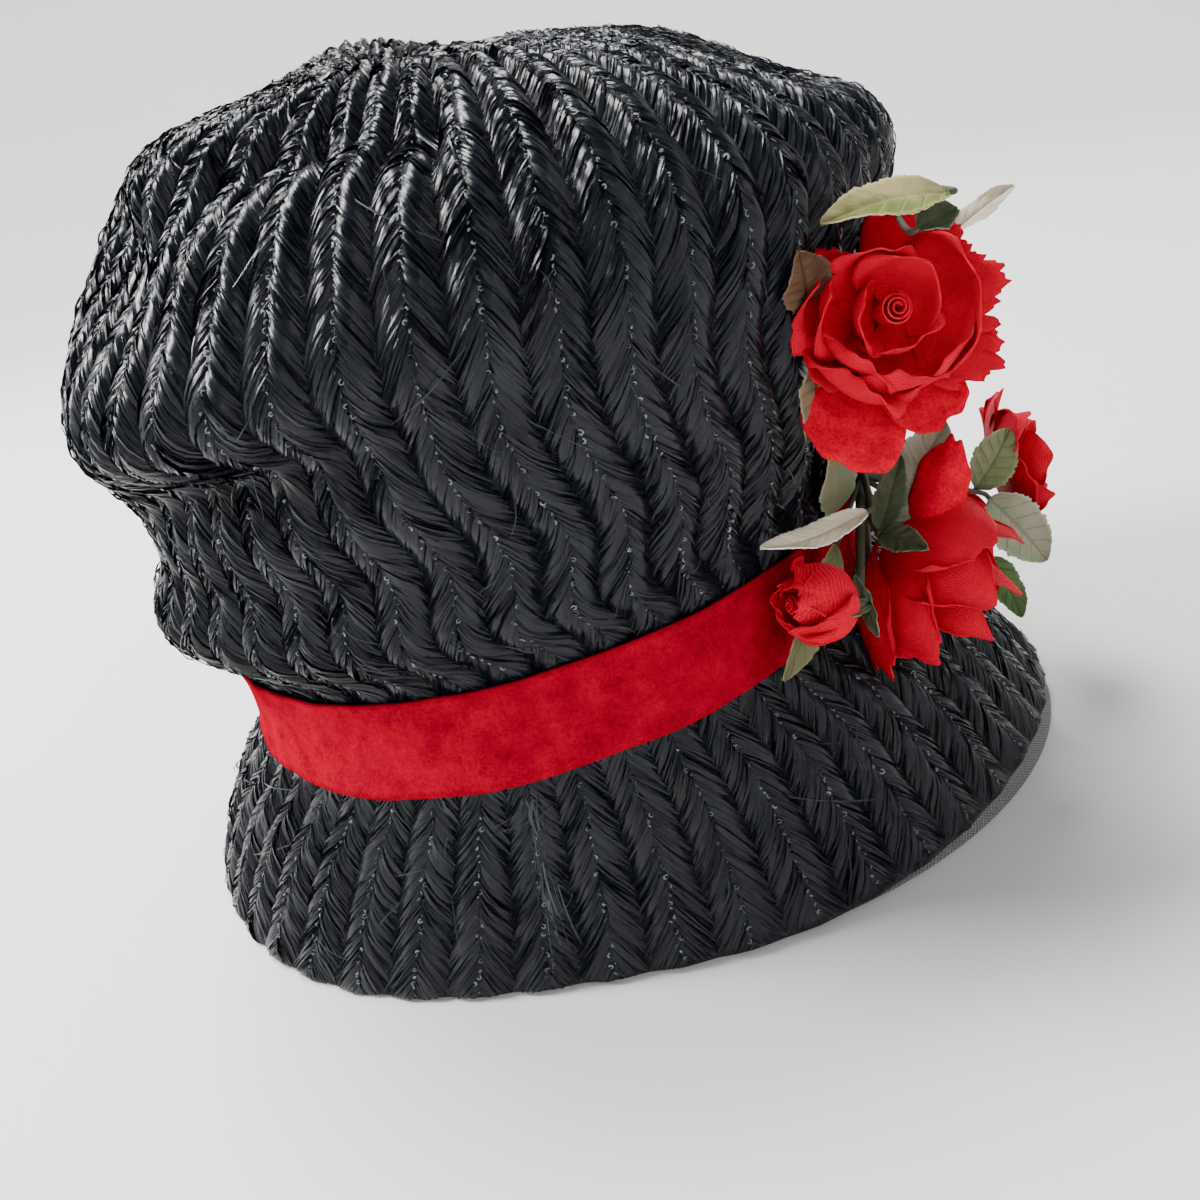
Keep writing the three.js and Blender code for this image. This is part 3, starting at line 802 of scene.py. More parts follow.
# Petals of the flowers, in mm and degrees.  turn is a petal's place round the axis and wide half its
# spread there.  It starts near the axis at the rise floor, bends over at the reach bend and the rise low,
# and ends at reach and rise.  curl rolls its rim outward, point sharpens its tip and fray tears its edge,
# all from 0 to 1; cloth is 0 for satin and 1 for velvet.
PETAL_COLUMNS = ("turn", "wide", "floor", "bend", "low", "reach", "rise", "curl", "point", "fray", "cloth")
FLOWERS = {
    "rose_large": {
        "front": (77, -92, 142),
        "axis": (0.1, -0.95, 0.3),
        "roll": (3.5, 10, 2.0),
        "petals": (
            (172, 84, -10, 10, -8, 7.4, 0.5, 0.25, 0.3, 0, 0),
            (35, 92, -10, 12, -9, 9.6, 2.0, 0.35, 0.3, 0, 0),
            (282, 74, -10, 12, -9, 8.6, -0.6, 0.3, 0, 0, 0),
            (95, 60, -12, 17, -11, 12.2, 1.0, 0.5, 0.5, 0, 0),
            (158, 54, -12, 19, -11, 13.6, 0.5, 0.5, 0.8, 0, 0),
            (222, 52, -13, 20, -12, 12.6, 0.5, 0.35, 0.2, 0, 0),
            (262, 56, -15, 25, -13, 13.5, -1.5, 0.3, 0.2, 0, 0),
            (312, 50, -15, 27, -13, 15.0, -1.0, 0.6, 0.3, 0, 0),
            (350, 58, -14, 26, -13, 18.5, 0.0, 0.2, 0.1, 0, 0),
            (150, 46, -14, 23, -13, 16.6, -0.5, 0.9, 1.0, 0, 0),
            (232, 44, -15, 27, -13, 15.5, -3.0, 0.5, 0.2, 0, 0),
            (60, 26, -16, 19, -17, 25.5, -7.5, 0.5, 0.7, 0.2, 0),
            (26, 26, -16, 18, -17, 28.0, -8.5, 0.3, 0.0, 0.8, 0),
            (-3, 26, -16, 18, -17, 30.5, -7.0, 0.2, 0.0, 0.9, 0),
            (-36, 28, -16, 18, -17, 30.0, -7.5, 0.2, 0.0, 0.8, 0),
            (-70, 31, -17, 16, -19, 28.5, -10.5, 0.2, 0.1, 0, 1),
            (-116, 35, -17, 18, -19, 34.5, -10.0, 0.3, 0.25, 0, 1),
            (-160, 34, -16, 16, -17, 19.0, -11.0, 0.2, 0.1, 0, 0),
            (120, 36, -16, 12, -17, 16.0, -12.5, 0.2, 0.0, 0, 0),
        ),
    },
    "rose_lower": {
        "front": (95, -61.5, 53.6),
        "axis": (0.58, -0.30, -0.75),
        "roll": (3.4, 12, 3.0),
        "petals": (
            (60, 80, -12, 11, -8, 8.0, 4.0, 0.3, 0.6, 0, 0),
            (180, 80, -12, 11, -8, 8.5, 4.5, 0.3, 0.7, 0, 0),
            (300, 80, -12, 12, -8, 9.0, 3.0, 0.3, 0.5, 0, 0),
            (100, 44, -20, 17, -12, 13.0, 8.0, 0.5, 1.0, 0, 0),
            (165, 46, -20, 17, -12, 13.5, 7.5, 0.5, 1.0, 0, 0),
            (30, 46, -20, 18, -12, 14.0, 3.0, 0.5, 0.9, 0, 0),
            (-50, 50, -20, 18, -12, 14.0, 2.0, 0.4, 0.5, 0, 0),
            (235, 48, -20, 18, -12, 15.0, 4.0, 0.4, 0.9, 0, 0),
            (82, 38, -27, 23, -16, 21.5, -1.0, 0.5, 1.0, 0, 0),
            (142, 42, -28, 24, -17, 20.0, 2.5, 0.5, 1.0, 0, 0),
            (190, 36, -28, 26, -18, 25.5, 1.5, 0.5, 0.8, 0.4, 0),
            (26, 38, -27, 22, -16, 23.0, -4.0, 0.4, 0.8, 0, 0),
            (-20, 40, -27, 21, -16, 20.0, -5.0, 0.4, 0.5, 0, 0),
            (-75, 42, -27, 22, -16, 20.0, -5.0, 0.4, 0.5, 0, 0),
            (116, 50, -29, 26, -26, 23.5, -9.0, 0.35, 0.1, 0.45, 0),
            (222, 36, -29, 26, -22, 29.5, -2.5, 0.35, 0.2, 0.7, 0),
            (252, 34, -29, 22, -22, 25.0, -8.0, 0.3, 0.2, 0.2, 0),
        ),
    },
    "rose_rear": {
        "front": (140, -10, 70),
        "axis": (0.93, -0.15, 0.1),
        "roll": (3.2, 8, 1.5),
        "petals": (
            (40, 80, -9, 12, -7, 8.0, 1.0, 0.3, 0.3, 0, 0),
            (160, 80, -9, 12, -7, 8.5, 0.5, 0.3, 0.3, 0, 0),
            (285, 80, -9, 12, -7, 9.0, 0.0, 0.3, 0.3, 0, 0),
            (100, 46, -14, 17, -11, 14.0, -1.0, 0.5, 0.7, 0, 0),
            (215, 46, -14, 17, -11, 14.0, -1.5, 0.5, 0.6, 0, 0),
            (340, 46, -14, 17, -11, 14.0, -1.5, 0.5, 0.6, 0, 0),
            (80, 34, -15, 17, -15, 21.5, -7.0, 0.4, 0.2, 0, 0),
            (20, 38, -15, 16, -15, 20.0, -7.5, 0.4, 0.1, 0.6, 0),
            (-45, 42, -15, 16, -15, 20.0, -7.5, 0.4, 0.1, 0.4, 0),
            (-110, 36, -15, 14, -15, 17.0, -8.0, 0.4, 0.1, 0, 0),
            (180, 38, -15, 16, -15, 20.0, -7.5, 0.4, 0.1, 0, 0),
            (130, 32, -15, 17, -15, 22.0, -7.0, 0.4, 0.1, 0.5, 0),
        ),
    },
    "rosebud": {
        "front": (42.7, -92.9, 80.4),
        "axis": (-0.90, -0.32, 0.30),
        "roll": (2.4, 9, -0.5),
        "petals": (
            (0, 100, -17, 11, -12, 3.2, -0.2, 0.15, 0.0, 0.2, 0),
            (125, 100, -17, 12, -12, 3.5, 0.2, 0.2, 0.1, 0.3, 0),
            (245, 100, -18, 13, -13, 3.8, 0.0, 0.25, 0.1, 0.3, 0),
            (60, 92, -19, 15, -15, 4.3, 0.4, 0.35, 0.2, 0.25, 0),
            (185, 96, -19, 15.5, -15, 4.5, 0.0, 0.4, 0.2, 0.25, 0),
            (300, 90, -19, 15.5, -15, 4.6, -0.5, 0.4, 0.2, 0.25, 0),
        ),
    },
}
VELVET = 1  # as the cloth of a petal
SPIRAL, SPIRAL_START = 1150, 0.45  # a rolled middle's turn in degrees, and its first distance from the axis
PETAL_ROOT = 0.8  # distance from the axis at which a petal starts, in mm
# A velvet petal that stands up behind the lower rose, in the columns of the leaves
FLAP = ((86.5, -64.5, 76), (96, -63.8, 100.5), 14.5, (-0.3, -0.93, 0.2), 2, -0.8, "velvet")


def frame_of(axis):
    """Directions across and up that go with an axis, and the axis itself."""
    forward = unit(np.array(axis, float))
    across = unit(np.cross((0, 0, 1), forward))
    return across, np.cross(forward, across), forward


def in_flower(flower, turn, reach, rise):
    """Points at turns in degrees round a flower's axis, at a reach from it and a rise along it, in mm."""
    across, up, forward = frame_of(flower["axis"])
    angle = np.radians(turn)
    flat = (reach * np.cos(angle))[..., None] * across + (reach * np.sin(angle))[..., None] * up
    rise = np.broadcast_to(rise, np.shape(reach))
    return np.array(flower["front"], float) + flat + rise[..., None] * forward


def petal_shape(flower, petal, number):
    """The bent form of one petal, as points for u across and v from its root to its rim."""

    def shape(u, v):
        side = 2 * u - 1
        round_rim = np.sqrt(np.clip(1 - (0.97 * side) ** 4, 0, 1))
        sharp_rim = 1 - np.abs(side) ** 1.3
        tears = np.sin(11 * u + 1.3 * number) + 0.8 * np.sin(27 * u + 2.1 * number)
        tears = tears + 0.5 * np.sin(63 * u + number)
        length = 1 - 0.3 * (1 - petal["point"]) * (1 - round_rim)
        length = length - 0.42 * petal["point"] * (1 - sharp_rim)
        length = length - 0.045 * petal["fray"] * (tears + 2.3) - 0.012 * np.sin(24 * u + 3 * number)
        t = v * length
        reach = (1 - t) ** 2 * PETAL_ROOT + 2 * t * (1 - t) * petal["bend"] + t**2 * petal["reach"]
        rise = (1 - t) ** 2 * petal["floor"] + 2 * t * (1 - t) * petal["low"] + t**2 * petal["rise"]
        spread = np.minimum(1, 0.4 + 1.5 * t) * np.sqrt(np.clip(1.05 - 0.55 * v**5, 0, 1))
        turn = petal["turn"] + petal["wide"] * side * spread
        roll = np.clip((v + 0.3 * np.abs(side) ** 2.5 - 0.78) / 0.5, 0, 1) ** 2
        wave = np.sin(3.1 * side + 1.9 * number) * v**2 + 0.6 * np.sin(7.3 * side + 0.7 * number) * v**4
        reach = reach + 5.5 * petal["curl"] * roll + 1.3 * side * v**2 + 0.6 * wave
        rise = rise - 3.5 * petal["curl"] * roll + 0.5 * wave
        return in_flower(flower, turn, np.maximum(reach, 0.3), rise)

    return shape


def moved(start, *moves):
    """A start, moved for every point by amounts along directions."""
    for amounts, way in moves:
        start = start + amounts[:, None] * way
    return start


def blade_frame(leaf):
    """The base, length and directions along, across and out of a blade."""
    base, tip = np.array(leaf["base"], float), np.array(leaf["tip"], float)
    length = np.linalg.norm(tip - base)
    forward = (tip - base) / length
    side_way = unit(np.cross(leaf["face"], forward))
    return base, length, forward, side_way, np.cross(forward, side_way)


def flap_shape(flap):
    """A round petal on its own, with a wavy rim."""
    base, length, forward, side_way, face = blade_frame(flap)

    def shape(u, v):
        side = 2 * u - 1
        half = flap["width"] / 2 * np.sin(math.pi * (0.12 + 0.8 * v)) ** 0.6 * (1 + 0.08 * np.sin(9 * v))
        along = v * length * (1 - 0.16 * np.abs(side) ** 2.5 * v + 0.03 * np.sin(8 * side) * v)
        out = flap["bow"] * np.sin(math.pi * v) + flap["fold"] * half * side**2
        out = out + 1.2 * np.sin(3 * side + 4 * v) * v
        return moved(base, (along, forward), (side * half, side_way), (out, face))

    return shape


def roll_shape(flower):
    """The rolled middle of a flower, a spiral of folded cloth."""
    size, depth, top = flower["roll"]

    def shape(u, v):
        turn = SPIRAL * u + 12 * np.sin(9 * u)
        reach = (SPIRAL_START + (size - SPIRAL_START) * u) * (0.75 + 0.25 * v) + 0.35 * v**8
        return in_flower(flower, turn, reach, top - depth * (1 - v) - 2.2 * u**2 * v - 0.5 * v**12)

    return shape


def satin_material(name, colour):
    """Red satin with a fine ribbed weave."""
    shader = Shader(name)
    cloth = shader.uv("cloth")
    across, along = shader.parts(cloth)
    waver = shader.noise(cloth, 0.12, 2.0)
    ribs = ((along + across * 0.12 + waver * 1.2) * 1.9).wave()
    threads = (across * 2.4).wave()
    fuzz = shader.noise(shader.place(), 1500.0, 2.0)
    weave = ribs * 0.7 + threads * 0.25 + fuzz * 0.5
    tone = shader.stepped(waver * 0.6 + ribs * 0.09 + fuzz * 0.3, 0.25, 0.7)
    return shader.paint(
        base_color=shader.mixed(tone, shaded(colour, 0.6), colour),
        roughness=0.5 + 0.12 * fuzz,
        sheen_tint=RED_SHEEN,
        sheen_weight=0.1,
        sheen_roughness=0.4,
        specular_ior_level=0.08,
        normal=shader.bump(weave, 0.0002, 0.6),
    )


def cut_from(cloth, verts):
    """Gives the faces at some vertices the cloth with this number."""
    for face in {face for vert in verts for face in vert.link_faces}:
        face.material_index = cloth


class HAT_OT_roses(bpy.types.Operator):
    """Builds the cloth roses from their petals"""

    bl_idname = "hat.roses"
    bl_label = "Roses"

    def execute(self, context):
        spray = context.scene.hat_spray
        satin = satin_material("petal_satin", tuple(spray.petals))
        velvet = velvet_material("petal_velvet", tuple(spray.petals))
        for name, flower in FLOWERS.items():
            bm = bmesh.new()
            add_sheet(bm, 90, 12, roll_shape(flower), (60, 10))
            for number, values in enumerate(flower["petals"]):
                petal = dict(zip(PETAL_COLUMNS, values))
                size = (2 * petal["reach"] * math.radians(petal["wide"]), petal["reach"] + 8)
                cut_from(petal["cloth"], add_sheet(bm, 28, 18, petal_shape(flower, petal, number), size))
            if name == "rose_lower":
                flap = dict(zip(LEAF_COLUMNS, FLAP))
                cut_from(VELVET, add_sheet(bm, 20, 24, flap_shape(flap), (14, 26)))
            piece = object_of(name + "_petals", mesh_of(bm))
            thickened(piece, spray.cloth_thickness, 0.0)
            finished(piece, satin, [name])
            piece.data.materials.append(velvet)
        return {"FINISHED"}


# Leaves, each a bent blade from its base to its tip.  face is the side that shows; bow lifts the middle
# of the blade and fold the sides over the midrib, in mm.
LEAF_COLUMNS = ("base", "tip", "width", "face", "bow", "fold", "cloth")
LEAVES = {
    "leaf_crown": ((93, -84.5, 161.5), (64, -90, 162), 13.5, (0, -0.45, 0.89), 2, 1, "sunlit"),
    "leaf_peak": ((85, -87, 156), (94.5, -85, 157.5), 8, (0, -0.6, 0.8), 1, 1, "dark"),
    "leaf_pale": ((102, -58, 148), (121, -50, 154), 6, (0, -0.6, 0.8), 1, 1, "white"),
    "leaf_brown": ((60, -84, 146), (57.5, -94, 158.5), 12.5, (0.2, -0.9, 0), 1, 1, "brown"),
    "leaf_beige": ((61.5, -80, 132), (55, -85.5, 115.5), 10.5, (0.5, -0.8, 0), 1, 1, "beige"),
    "leaf_long": ((65, -60, 87), (64, -71, 110.5), 15, (0.6, -0.8, -0.1), 1, 1, "grey"),
    "leaf_curl": ((70, -72, 90), (40, -91, 95), 7, (0, -0.62, 0.78), -3, 1, "white"),
    "leaf_bud": ((62, -69, 82), (39.5, -92, 61), 13, (0.72, -0.67, 0.1), 1.5, 1, "khaki"),
    "leaf_middle": ((80, -58, 80), (98, -52, 101), 17, (-0.3, -0.9, 0.2), 2, 1, "pale"),
    "leaf_dark": ((76, -59, 79), (84, -58, 97), 8, (-0.3, -0.9, 0.2), 1, 1, "dark"),
    "leaf_olive": ((112, -30, 72), (126, -22, 84), 13, (0, -0.95, 0.3), 2, 1, "olive"),
    "leaf_right": ((114, -34, 70), (129, -34, 47), 16, (0.1, -0.95, 0.2), 2, 1, "pale"),
    "leaf_low": ((113, -34, 52), (119, -38, 33), 9, (0.1, -0.95, 0.2), 1, 1, "green"),
}
# Sepals, in the same columns
SEPALS = {
    "sepal_bud_up": ((63, -88.5, 74), (60.5, -91, 83), 3.6, (-0.3, -0.9, 0.1), 2.0, 0.5, "dark"),
    "sepal_bud_down": ((63, -88.5, 74), (62.5, -97, 69), 3.4, (-0.3, -0.9, 0.1), 1.6, 0.5, "dark"),
    "sepal_bud_side": ((63, -89, 74.5), (54.5, -98, 77), 3.4, (-0.2, -0.9, 0.3), 1.6, 0.5, "dark"),
    "sepal_rose": ((74.5, -65, 80.5), (81.5, -80, 80), 7.5, (-0.4, -0.55, 0.7), 1.2, 0.8, "dark"),
}
# The cloths of the leaves: main colour, colour of its other half and of its veins
LEAF_CLOTHS = {
    "sunlit": ((0.40, 0.34, 0.16), (0.17, 0.20, 0.05), (0.36, 0.28, 0.15)),
    "dark": ((0.075, 0.11, 0.055), (0.12, 0.13, 0.07), (0.16, 0.16, 0.10)),
    "white": ((0.97, 0.88, 0.68), (0.95, 0.80, 0.60), (0.80, 0.70, 0.48)),
    "brown": ((0.10, 0.042, 0.022), (0.16, 0.085, 0.045), (0.045, 0.018, 0.01)),
    "beige": ((0.30, 0.22, 0.13), (0.20, 0.15, 0.09), (0.16, 0.10, 0.06)),
    "grey": ((0.20, 0.24, 0.14), (0.26, 0.22, 0.13), (0.30, 0.25, 0.15)),
    "khaki": ((0.17, 0.19, 0.08), (0.24, 0.24, 0.12), (0.12, 0.13, 0.06)),
    "pale": ((0.33, 0.38, 0.24), (0.42, 0.38, 0.28), (0.20, 0.20, 0.12)),
    "olive": ((0.22, 0.25, 0.11), (0.30, 0.31, 0.18), (0.15, 0.16, 0.07)),
    "green": ((0.09, 0.17, 0.05), (0.17, 0.25, 0.10), (0.05, 0.09, 0.03)),
}


STALK, TOOTH_PITCH, VEIN_PITCH = 0.35, 1.6, 3.6  # half a leaf's width at its ends, and two pitches, in mm
LEAF_THICKNESS = 0.8  # as a share of the petals'


def leaf_half(leaf, v):
    """Half the width of a leaf's flat outline, in mm, at v from its base to its tip."""
    return STALK + (leaf["width"] / 2 - STALK) * np.sin(math.pi * np.clip(v, 0, 1) ** 0.8) ** 0.75


def leaf_shape(leaf):
    """The bent blade of one leaf, with a pressed midrib and side veins and a toothed edge."""
    base, length, forward, side_way, face = blade_frame(leaf)

    def shape(u, v):
        side = 2 * u - 1
        teeth = (v * length / TOOTH_PITCH) % 1 + 0.3 * np.sin(v * length * 1.7)
        half = leaf_half(leaf, v)
        half = half * (1 + 0.11 * (teeth - 0.5) * np.abs(side) ** 4)
        half = half + 0.4 * np.sin(7 * v + side) * v * (1 - v)
        lift = leaf["fold"] * half * np.abs(side) / (leaf["width"] / 2)
        veins = np.cos(2 * math.pi * (v * length / VEIN_PITCH - 1.1 * np.abs(side)))
        lift = lift + 0.3 * veins * np.abs(side) * (1 - np.abs(side)) * 3
        lift = lift - 0.4 * np.exp(-((side / 0.12) ** 2))
        lift = lift + 0.9 * np.sin(6.5 * v + 2 * side) * v * side + 0.5 * np.sin(11 * v) * side**2
        bow = leaf["bow"] * np.sin(math.pi * v)
        return moved(base, (v * length, forward), (bow, face), (side * half, side_way), (lift, face))

    return shape


def leaf_material(name, main, other, vein):
    """Coarsely woven printed cloth with a leaf's veins."""
    shader = Shader(name)
    across, along = shader.parts(shader.uv("cloth"))
    side = abs(across - 0.5) * 2
    weft, warp = (along * 46).wave(), (across * 24).wave()
    branches = abs((along * 6 - side * 1.1).fraction() - 0.5) * 2
    veins = shader.stepped(branches, 0.8, 0.98).larger(shader.stepped(side, 0.1, 0.03))
    blotches = shader.noise(shader.place(), 150.0, 4.0, 0.65)
    tone = shader.stepped(blotches + across * 0.35 - 0.17, 0.38, 0.62)
    colour = shader.mixed(tone, main, other)
    colour = shader.mixed(veins * 0.6, colour, vein)
    edge = shader.stepped(side, 0.82, 1.0) * 0.6
    pale = tuple(min(1.0, 1.5 * c + 0.08) for c in main)
    height = (weft * warp) * 0.5 + blotches * 0.6 - veins * 0.8
    return shader.paint(
        base_color=shader.mixed(edge, colour, pale),
        roughness=0.75 + 0.2 * blotches,
        specular_ior_level=0.2,
        normal=shader.bump(height, 0.0005, 0.8),
    )


# Leaves at least this wide, in metres, have their area worked out
NARROWEST_SHEET = 0.01


class HAT_OT_leaves(bpy.types.Operator):
    """Cuts and bends the cloth leaves and sepals"""

    bl_idname = "hat.leaves"
    bl_label = "Leaves"

    def execute(self, context):
        spray = context.scene.hat_spray
        cloths = {name: leaf_material("leaf_" + name, *colours) for name, colours in LEAF_CLOTHS.items()}
        for name, values in {**LEAVES, **SEPALS}.items():
            leaf = dict(zip(LEAF_COLUMNS, values))
            bm = bmesh.new()
            add_sheet(bm, 16, 40, leaf_shape(leaf), (1, 1))
            piece = object_of(name + "_cloth", mesh_of(bm))
            thickened(piece, LEAF_THICKNESS * spray.cloth_thickness, 0.0)
            finished(piece, cloths[leaf["cloth"]], [name] if name in LEAVES else [])
            width, length = MM * leaf["width"], MM * math.dist(leaf["base"], leaf["tip"])
            if width >= NARROWEST_SHEET:
                places = np.linspace(0, 1, 201)[1::2]
                area = 2 * float((MM * leaf_half(leaf, places)).mean()) * length
        return {"FINISHED"}


# Where the stem lies: its azimuth, distance out from the mean surface and radius, in mm, and rows
STEM_AZIMUTH, STEM_OUT, STEM_RADIUS = 337, 4.3, 1.9
STEM_ROWS = (4.6, 5, 5.6, 6.2, 6.8, 7.4, 8, 9)
# Each twig's row on the stem and how much its middle is lifted, in mm
TWIGS = {
    "leaf_crown": (4.7, 6),
    "leaf_peak": (4.7, 6),
    "leaf_pale": (5, 0),
    "rose_large": (5.6, 0),
    "leaf_curl": (7.4, 0),
    "leaf_dark": (7.4, 0),
    "leaf_bud": (8, 0),
    "leaf_middle": (8, 0),
    "rose_lower": (8, 1),
    "rosebud": (8, 0),
    "rose_rear": (8, 0),
    "leaf_olive": (8, 0),
    "leaf_right": (8, 0),
    "leaf_low": (8, 0),
}
TWIG_ELBOW, FLOWER_TWIG_RADIUS, LEAF_TWIG_RADIUS = 2.5, 1.25, 0.8
# How far behind its front a flower meets its twig, in mm
FLOWER_DEPTHS = {"rose_large": 22, "rose_lower": 30, "rose_rear": 18, "rosebud": 19}


def smoothed(points, times=3):
    """A line of points with its corners cut, so that it bends smoothly."""
    points = np.asarray(points, float)
    for _ in range(times):
        near, far = 0.75 * points[:-1] + 0.25 * points[1:], 0.25 * points[:-1] + 0.75 * points[1:]
        inner = np.stack((near, far), axis=1).reshape(-1, 3)
        points = np.concatenate((points[:1], inner, points[-1:]))
    return points


def tube_shape(points, radius_of):
    """A round tube along a line of points."""
    share = np.linspace(0, 1, len(points))
    ways = unit(np.gradient(points, axis=0))

    def shape(u, v):
        centre = np.stack([np.interp(v, share, points[:, axis]) for axis in range(3)], axis=1)
        way = unit(np.stack([np.interp(v, share, ways[:, axis]) for axis in range(3)], axis=1))
        side_way = unit(np.cross(way, (0.43, 0.31, 0.85)))
        up = np.cross(side_way, way)
        angle = 2 * math.pi * u
        radius = radius_of(v)
        return moved(centre, (radius * np.cos(angle), side_way), (radius * np.sin(angle), up))

    return shape


def tape_material(name):
    """Paper tape wound round wire."""
    shader = Shader(name)
    across, along = shader.parts(shader.uv("cloth"))
    winding = (along * 0.45 + across).fraction()
    fuzz = shader.noise(shader.place(), 700.0, 3.0)
    return shader.paint(
        base_color=shader.mixed(fuzz, (0.022, 0.028, 0.014), (0.06, 0.055, 0.028)),
        roughness=0.6 + 0.25 * fuzz,
        normal=shader.bump(winding * 0.8 + fuzz * 0.5, 0.0003, 0.8),
    )


class HAT_OT_stems(bpy.types.Operator):
    """Bends the taped stem and its twigs"""

    bl_idname = "hat.stems"
    bl_label = "Stems"

    def execute(self, context):
        def on_stem(row):
            return offset_points(STEM_AZIMUTH, row, STEM_OUT)

        bm = bmesh.new()
        main = smoothed([on_stem(row) for row in STEM_ROWS], 2)
        add_sheet(bm, 12, 60, tube_shape(main, lambda v: STEM_RADIUS - 0.3 * np.cos(30 * v)), (1, 90))
        for name, (row, rise) in TWIGS.items():
            if name in LEAVES:
                base, tip = (np.array(point, float) for point in LEAVES[name][:2])
                forward, end = unit(tip - base), base
            else:
                flower = FLOWERS[name]
                forward = frame_of(flower["axis"])[2]
                end = np.array(flower["front"], float) - forward * FLOWER_DEPTHS[name]
            start, elbow = on_stem(row), end - forward * TWIG_ELBOW
            middle = (start + elbow) / 2 + (0, 0, rise)
            line = smoothed([start, middle, elbow, end])
            thick = FLOWER_TWIG_RADIUS if name in FLOWERS else LEAF_TWIG_RADIUS
            add_sheet(bm, 10, 24, tube_shape(line, lambda v, thick=thick: thick * (1 - 0.15 * v)), (1, 30))
        bmesh.ops.remove_doubles(bm, verts=bm.verts, dist=1e-6)
        bmesh.ops.holes_fill(bm, edges=[edge for edge in bm.edges if edge.is_boundary], sides=0)
        bmesh.ops.recalc_face_normals(bm, faces=bm.faces)
        piece = object_of("stem_wires", mesh_of(bm))
        finished(piece, tape_material("stem_tape"), ["spray_stem"])
        return {"FINISHED"}


CAMERA_PLACE = (-0.0023, -0.3461, 0.2011)
CAMERA_RIGHT = (0.973, -0.092, -0.213)
CAMERA_UP = (0.232, 0.386, 0.893)
FOCAL_PIXELS, PHOTO_PIXELS, SENSOR = 1203, 1200, 36.0

# Soft lights: place in metres, and the sides of the panel
LIGHTS = {
    "key": ((-1.15, 0.2, 1.15), (0.45, 0.45)),
    "fill": ((0.6, -1.7, 1.7), (0.7, 0.7)),
    "top": ((-0.5, 0.9, 2.45), (1.1, 1.1)),
}
LIGHT_AIM = (0, 0, 0.1)
SKY_COLOUR, SKY_STRENGTH = (0.8, 0.9, 1.0), 0.18
# Reach of the flat floor, radius of the cove round it and height of the wall, in metres
FLOOR_REACH, COVE, WALL_TOP = 1.6, 1.0, 3.0


def add_camera(scene):
    """The photo's angle, as focal length, place and directions."""
    camera = bpy.data.objects.new("camera", bpy.data.cameras.new("camera"))
    camera.data.sensor_width = SENSOR
    camera.data.lens = SENSOR * FOCAL_PIXELS / PHOTO_PIXELS
    camera.data.clip_start = 0.01
    right, up = Vector(CAMERA_RIGHT).normalized(), Vector(CAMERA_UP).normalized()
    back = right.cross(up).normalized()
    up = back.cross(right)
    turned = Matrix((right, up, back)).transposed().to_4x4()
    camera.matrix_world = Matrix.Translation(CAMERA_PLACE) @ turned
    scene.collection.objects.link(camera)
    scene.camera = camera


def add_floor(pale):
    """A round floor that bends up into a wall."""
    bm = bmesh.new()
    turns = np.linspace(0.15, math.pi / 2, 9)
    cove = [(FLOOR_REACH + COVE * math.sin(turn), COVE * (1 - math.cos(turn))) for turn in turns]
    start = bm.verts.new((0, 0, 0))
    edges = []
    for x, z in [(FLOOR_REACH, 0), *cove, (FLOOR_REACH + COVE, WALL_TOP)]:
        end = bm.verts.new((x, 0, z))
        edges.append(bm.edges.new((start, end)))
        start = end
    geometry = bm.verts[:] + edges
    bmesh.ops.spin(
        bm, geom=geometry, cent=(0, 0, 0), axis=(0, 0, 1), angle=2 * math.pi, steps=64, use_merge=True
    )
    bmesh.ops.remove_doubles(bm, verts=bm.verts, dist=1e-5)
    for face in bm.faces:
        face.smooth = True
    floor = object_of("floor", mesh_of(bm))
    shader = Shader("floor")
    grain = shader.noise(shader.place(), 6.0, 3.0)
    colour = shader.mixed(grain, shaded(pale, 0.96), pale)
    floor.data.materials.append(shader.paint(base_color=colour, roughness=0.8))


def add_light(scene, name, place, sides, power):
    light = bpy.data.lights.new(name, "AREA")
    light.shape = "RECTANGLE"
    light.size, light.size_y = sides
    light.energy = power
    lamp = bpy.data.objects.new(name, light)
    lamp.location = place
    lamp.rotation_euler = (Vector(LIGHT_AIM) - Vector(place)).to_track_quat("-Z", "Y").to_euler()
    scene.collection.objects.link(lamp)


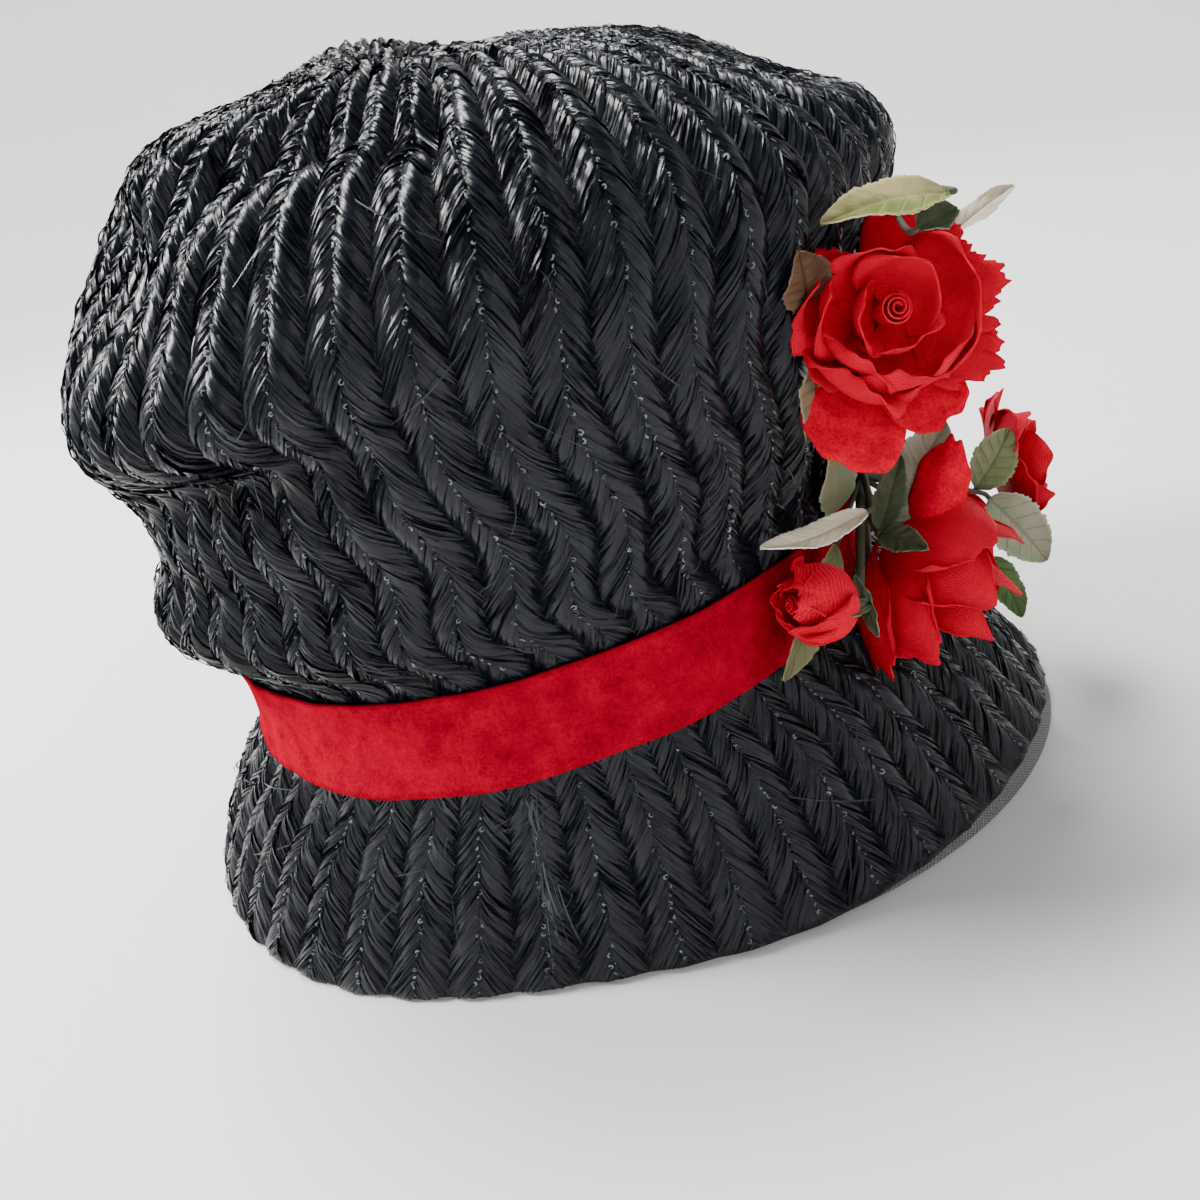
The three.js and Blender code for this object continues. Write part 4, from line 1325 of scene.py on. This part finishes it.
class HAT_OT_stage(bpy.types.Operator):
    """Sets up the floor, the lights and the camera"""

    bl_idname = "hat.stage"
    bl_label = "Stage"

    def execute(self, context):
        stage = context.scene.hat_stage
        add_camera(context.scene)
        add_floor(tuple(stage.floor))
        for name, (place, sides) in LIGHTS.items():
            add_light(context.scene, name, place, sides, getattr(stage, name + "_power"))
        world = bpy.data.worlds.new("studio")
        world.use_nodes = True
        sky = world.node_tree.nodes["Background"].inputs
        sky["Color"].default_value = (*SKY_COLOUR, 1.0)
        sky["Strength"].default_value = SKY_STRENGTH
        context.scene.world = world
        return {"FINISHED"}


OPERATORS = (
    HAT_OT_stage,
    HAT_OT_linings,
    HAT_OT_braids,
    HAT_OT_stitches,
    HAT_OT_stray_fibres,
    HAT_OT_velvet_band,
    HAT_OT_rim_net,
    HAT_OT_roses,
    HAT_OT_leaves,
    HAT_OT_stems,
)
SETTINGS = {
    "hat_straw": StrawSizes,
    "hat_band": BandSizes,
    "hat_spray": SpraySizes,
    "hat_stage": StageSizes,
}


class HAT_PT_sidebar(bpy.types.Panel):
    """The hat's sizes, colours and pieces"""

    bl_idname = "HAT_PT_sidebar"
    bl_label = "Bubble hat"
    bl_space_type = "VIEW_3D"
    bl_region_type = "UI"
    bl_category = "Hat"

    def draw(self, context):
        for name, group in SETTINGS.items():
            box = self.layout.box()
            for setting in group.__annotations__:
                box.prop(getattr(context.scene, name), setting)
        for operator in OPERATORS:
            self.layout.operator(operator.bl_idname)


def register():
    for group in (*SETTINGS.values(), *OPERATORS, HAT_PT_sidebar):
        bpy.utils.register_class(group)
    for name, group in SETTINGS.items():
        setattr(bpy.types.Scene, name, PointerProperty(type=group))


def unregister():
    for name in SETTINGS:
        delattr(bpy.types.Scene, name)
    for group in (HAT_PT_sidebar, *OPERATORS, *SETTINGS.values()):
        bpy.utils.unregister_class(group)


def main():
    register()
    for operator in OPERATORS:
        group, name = operator.bl_idname.split(".")
        getattr(getattr(bpy.ops, group), name)()
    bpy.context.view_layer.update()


if __name__ == "__main__":
    main()
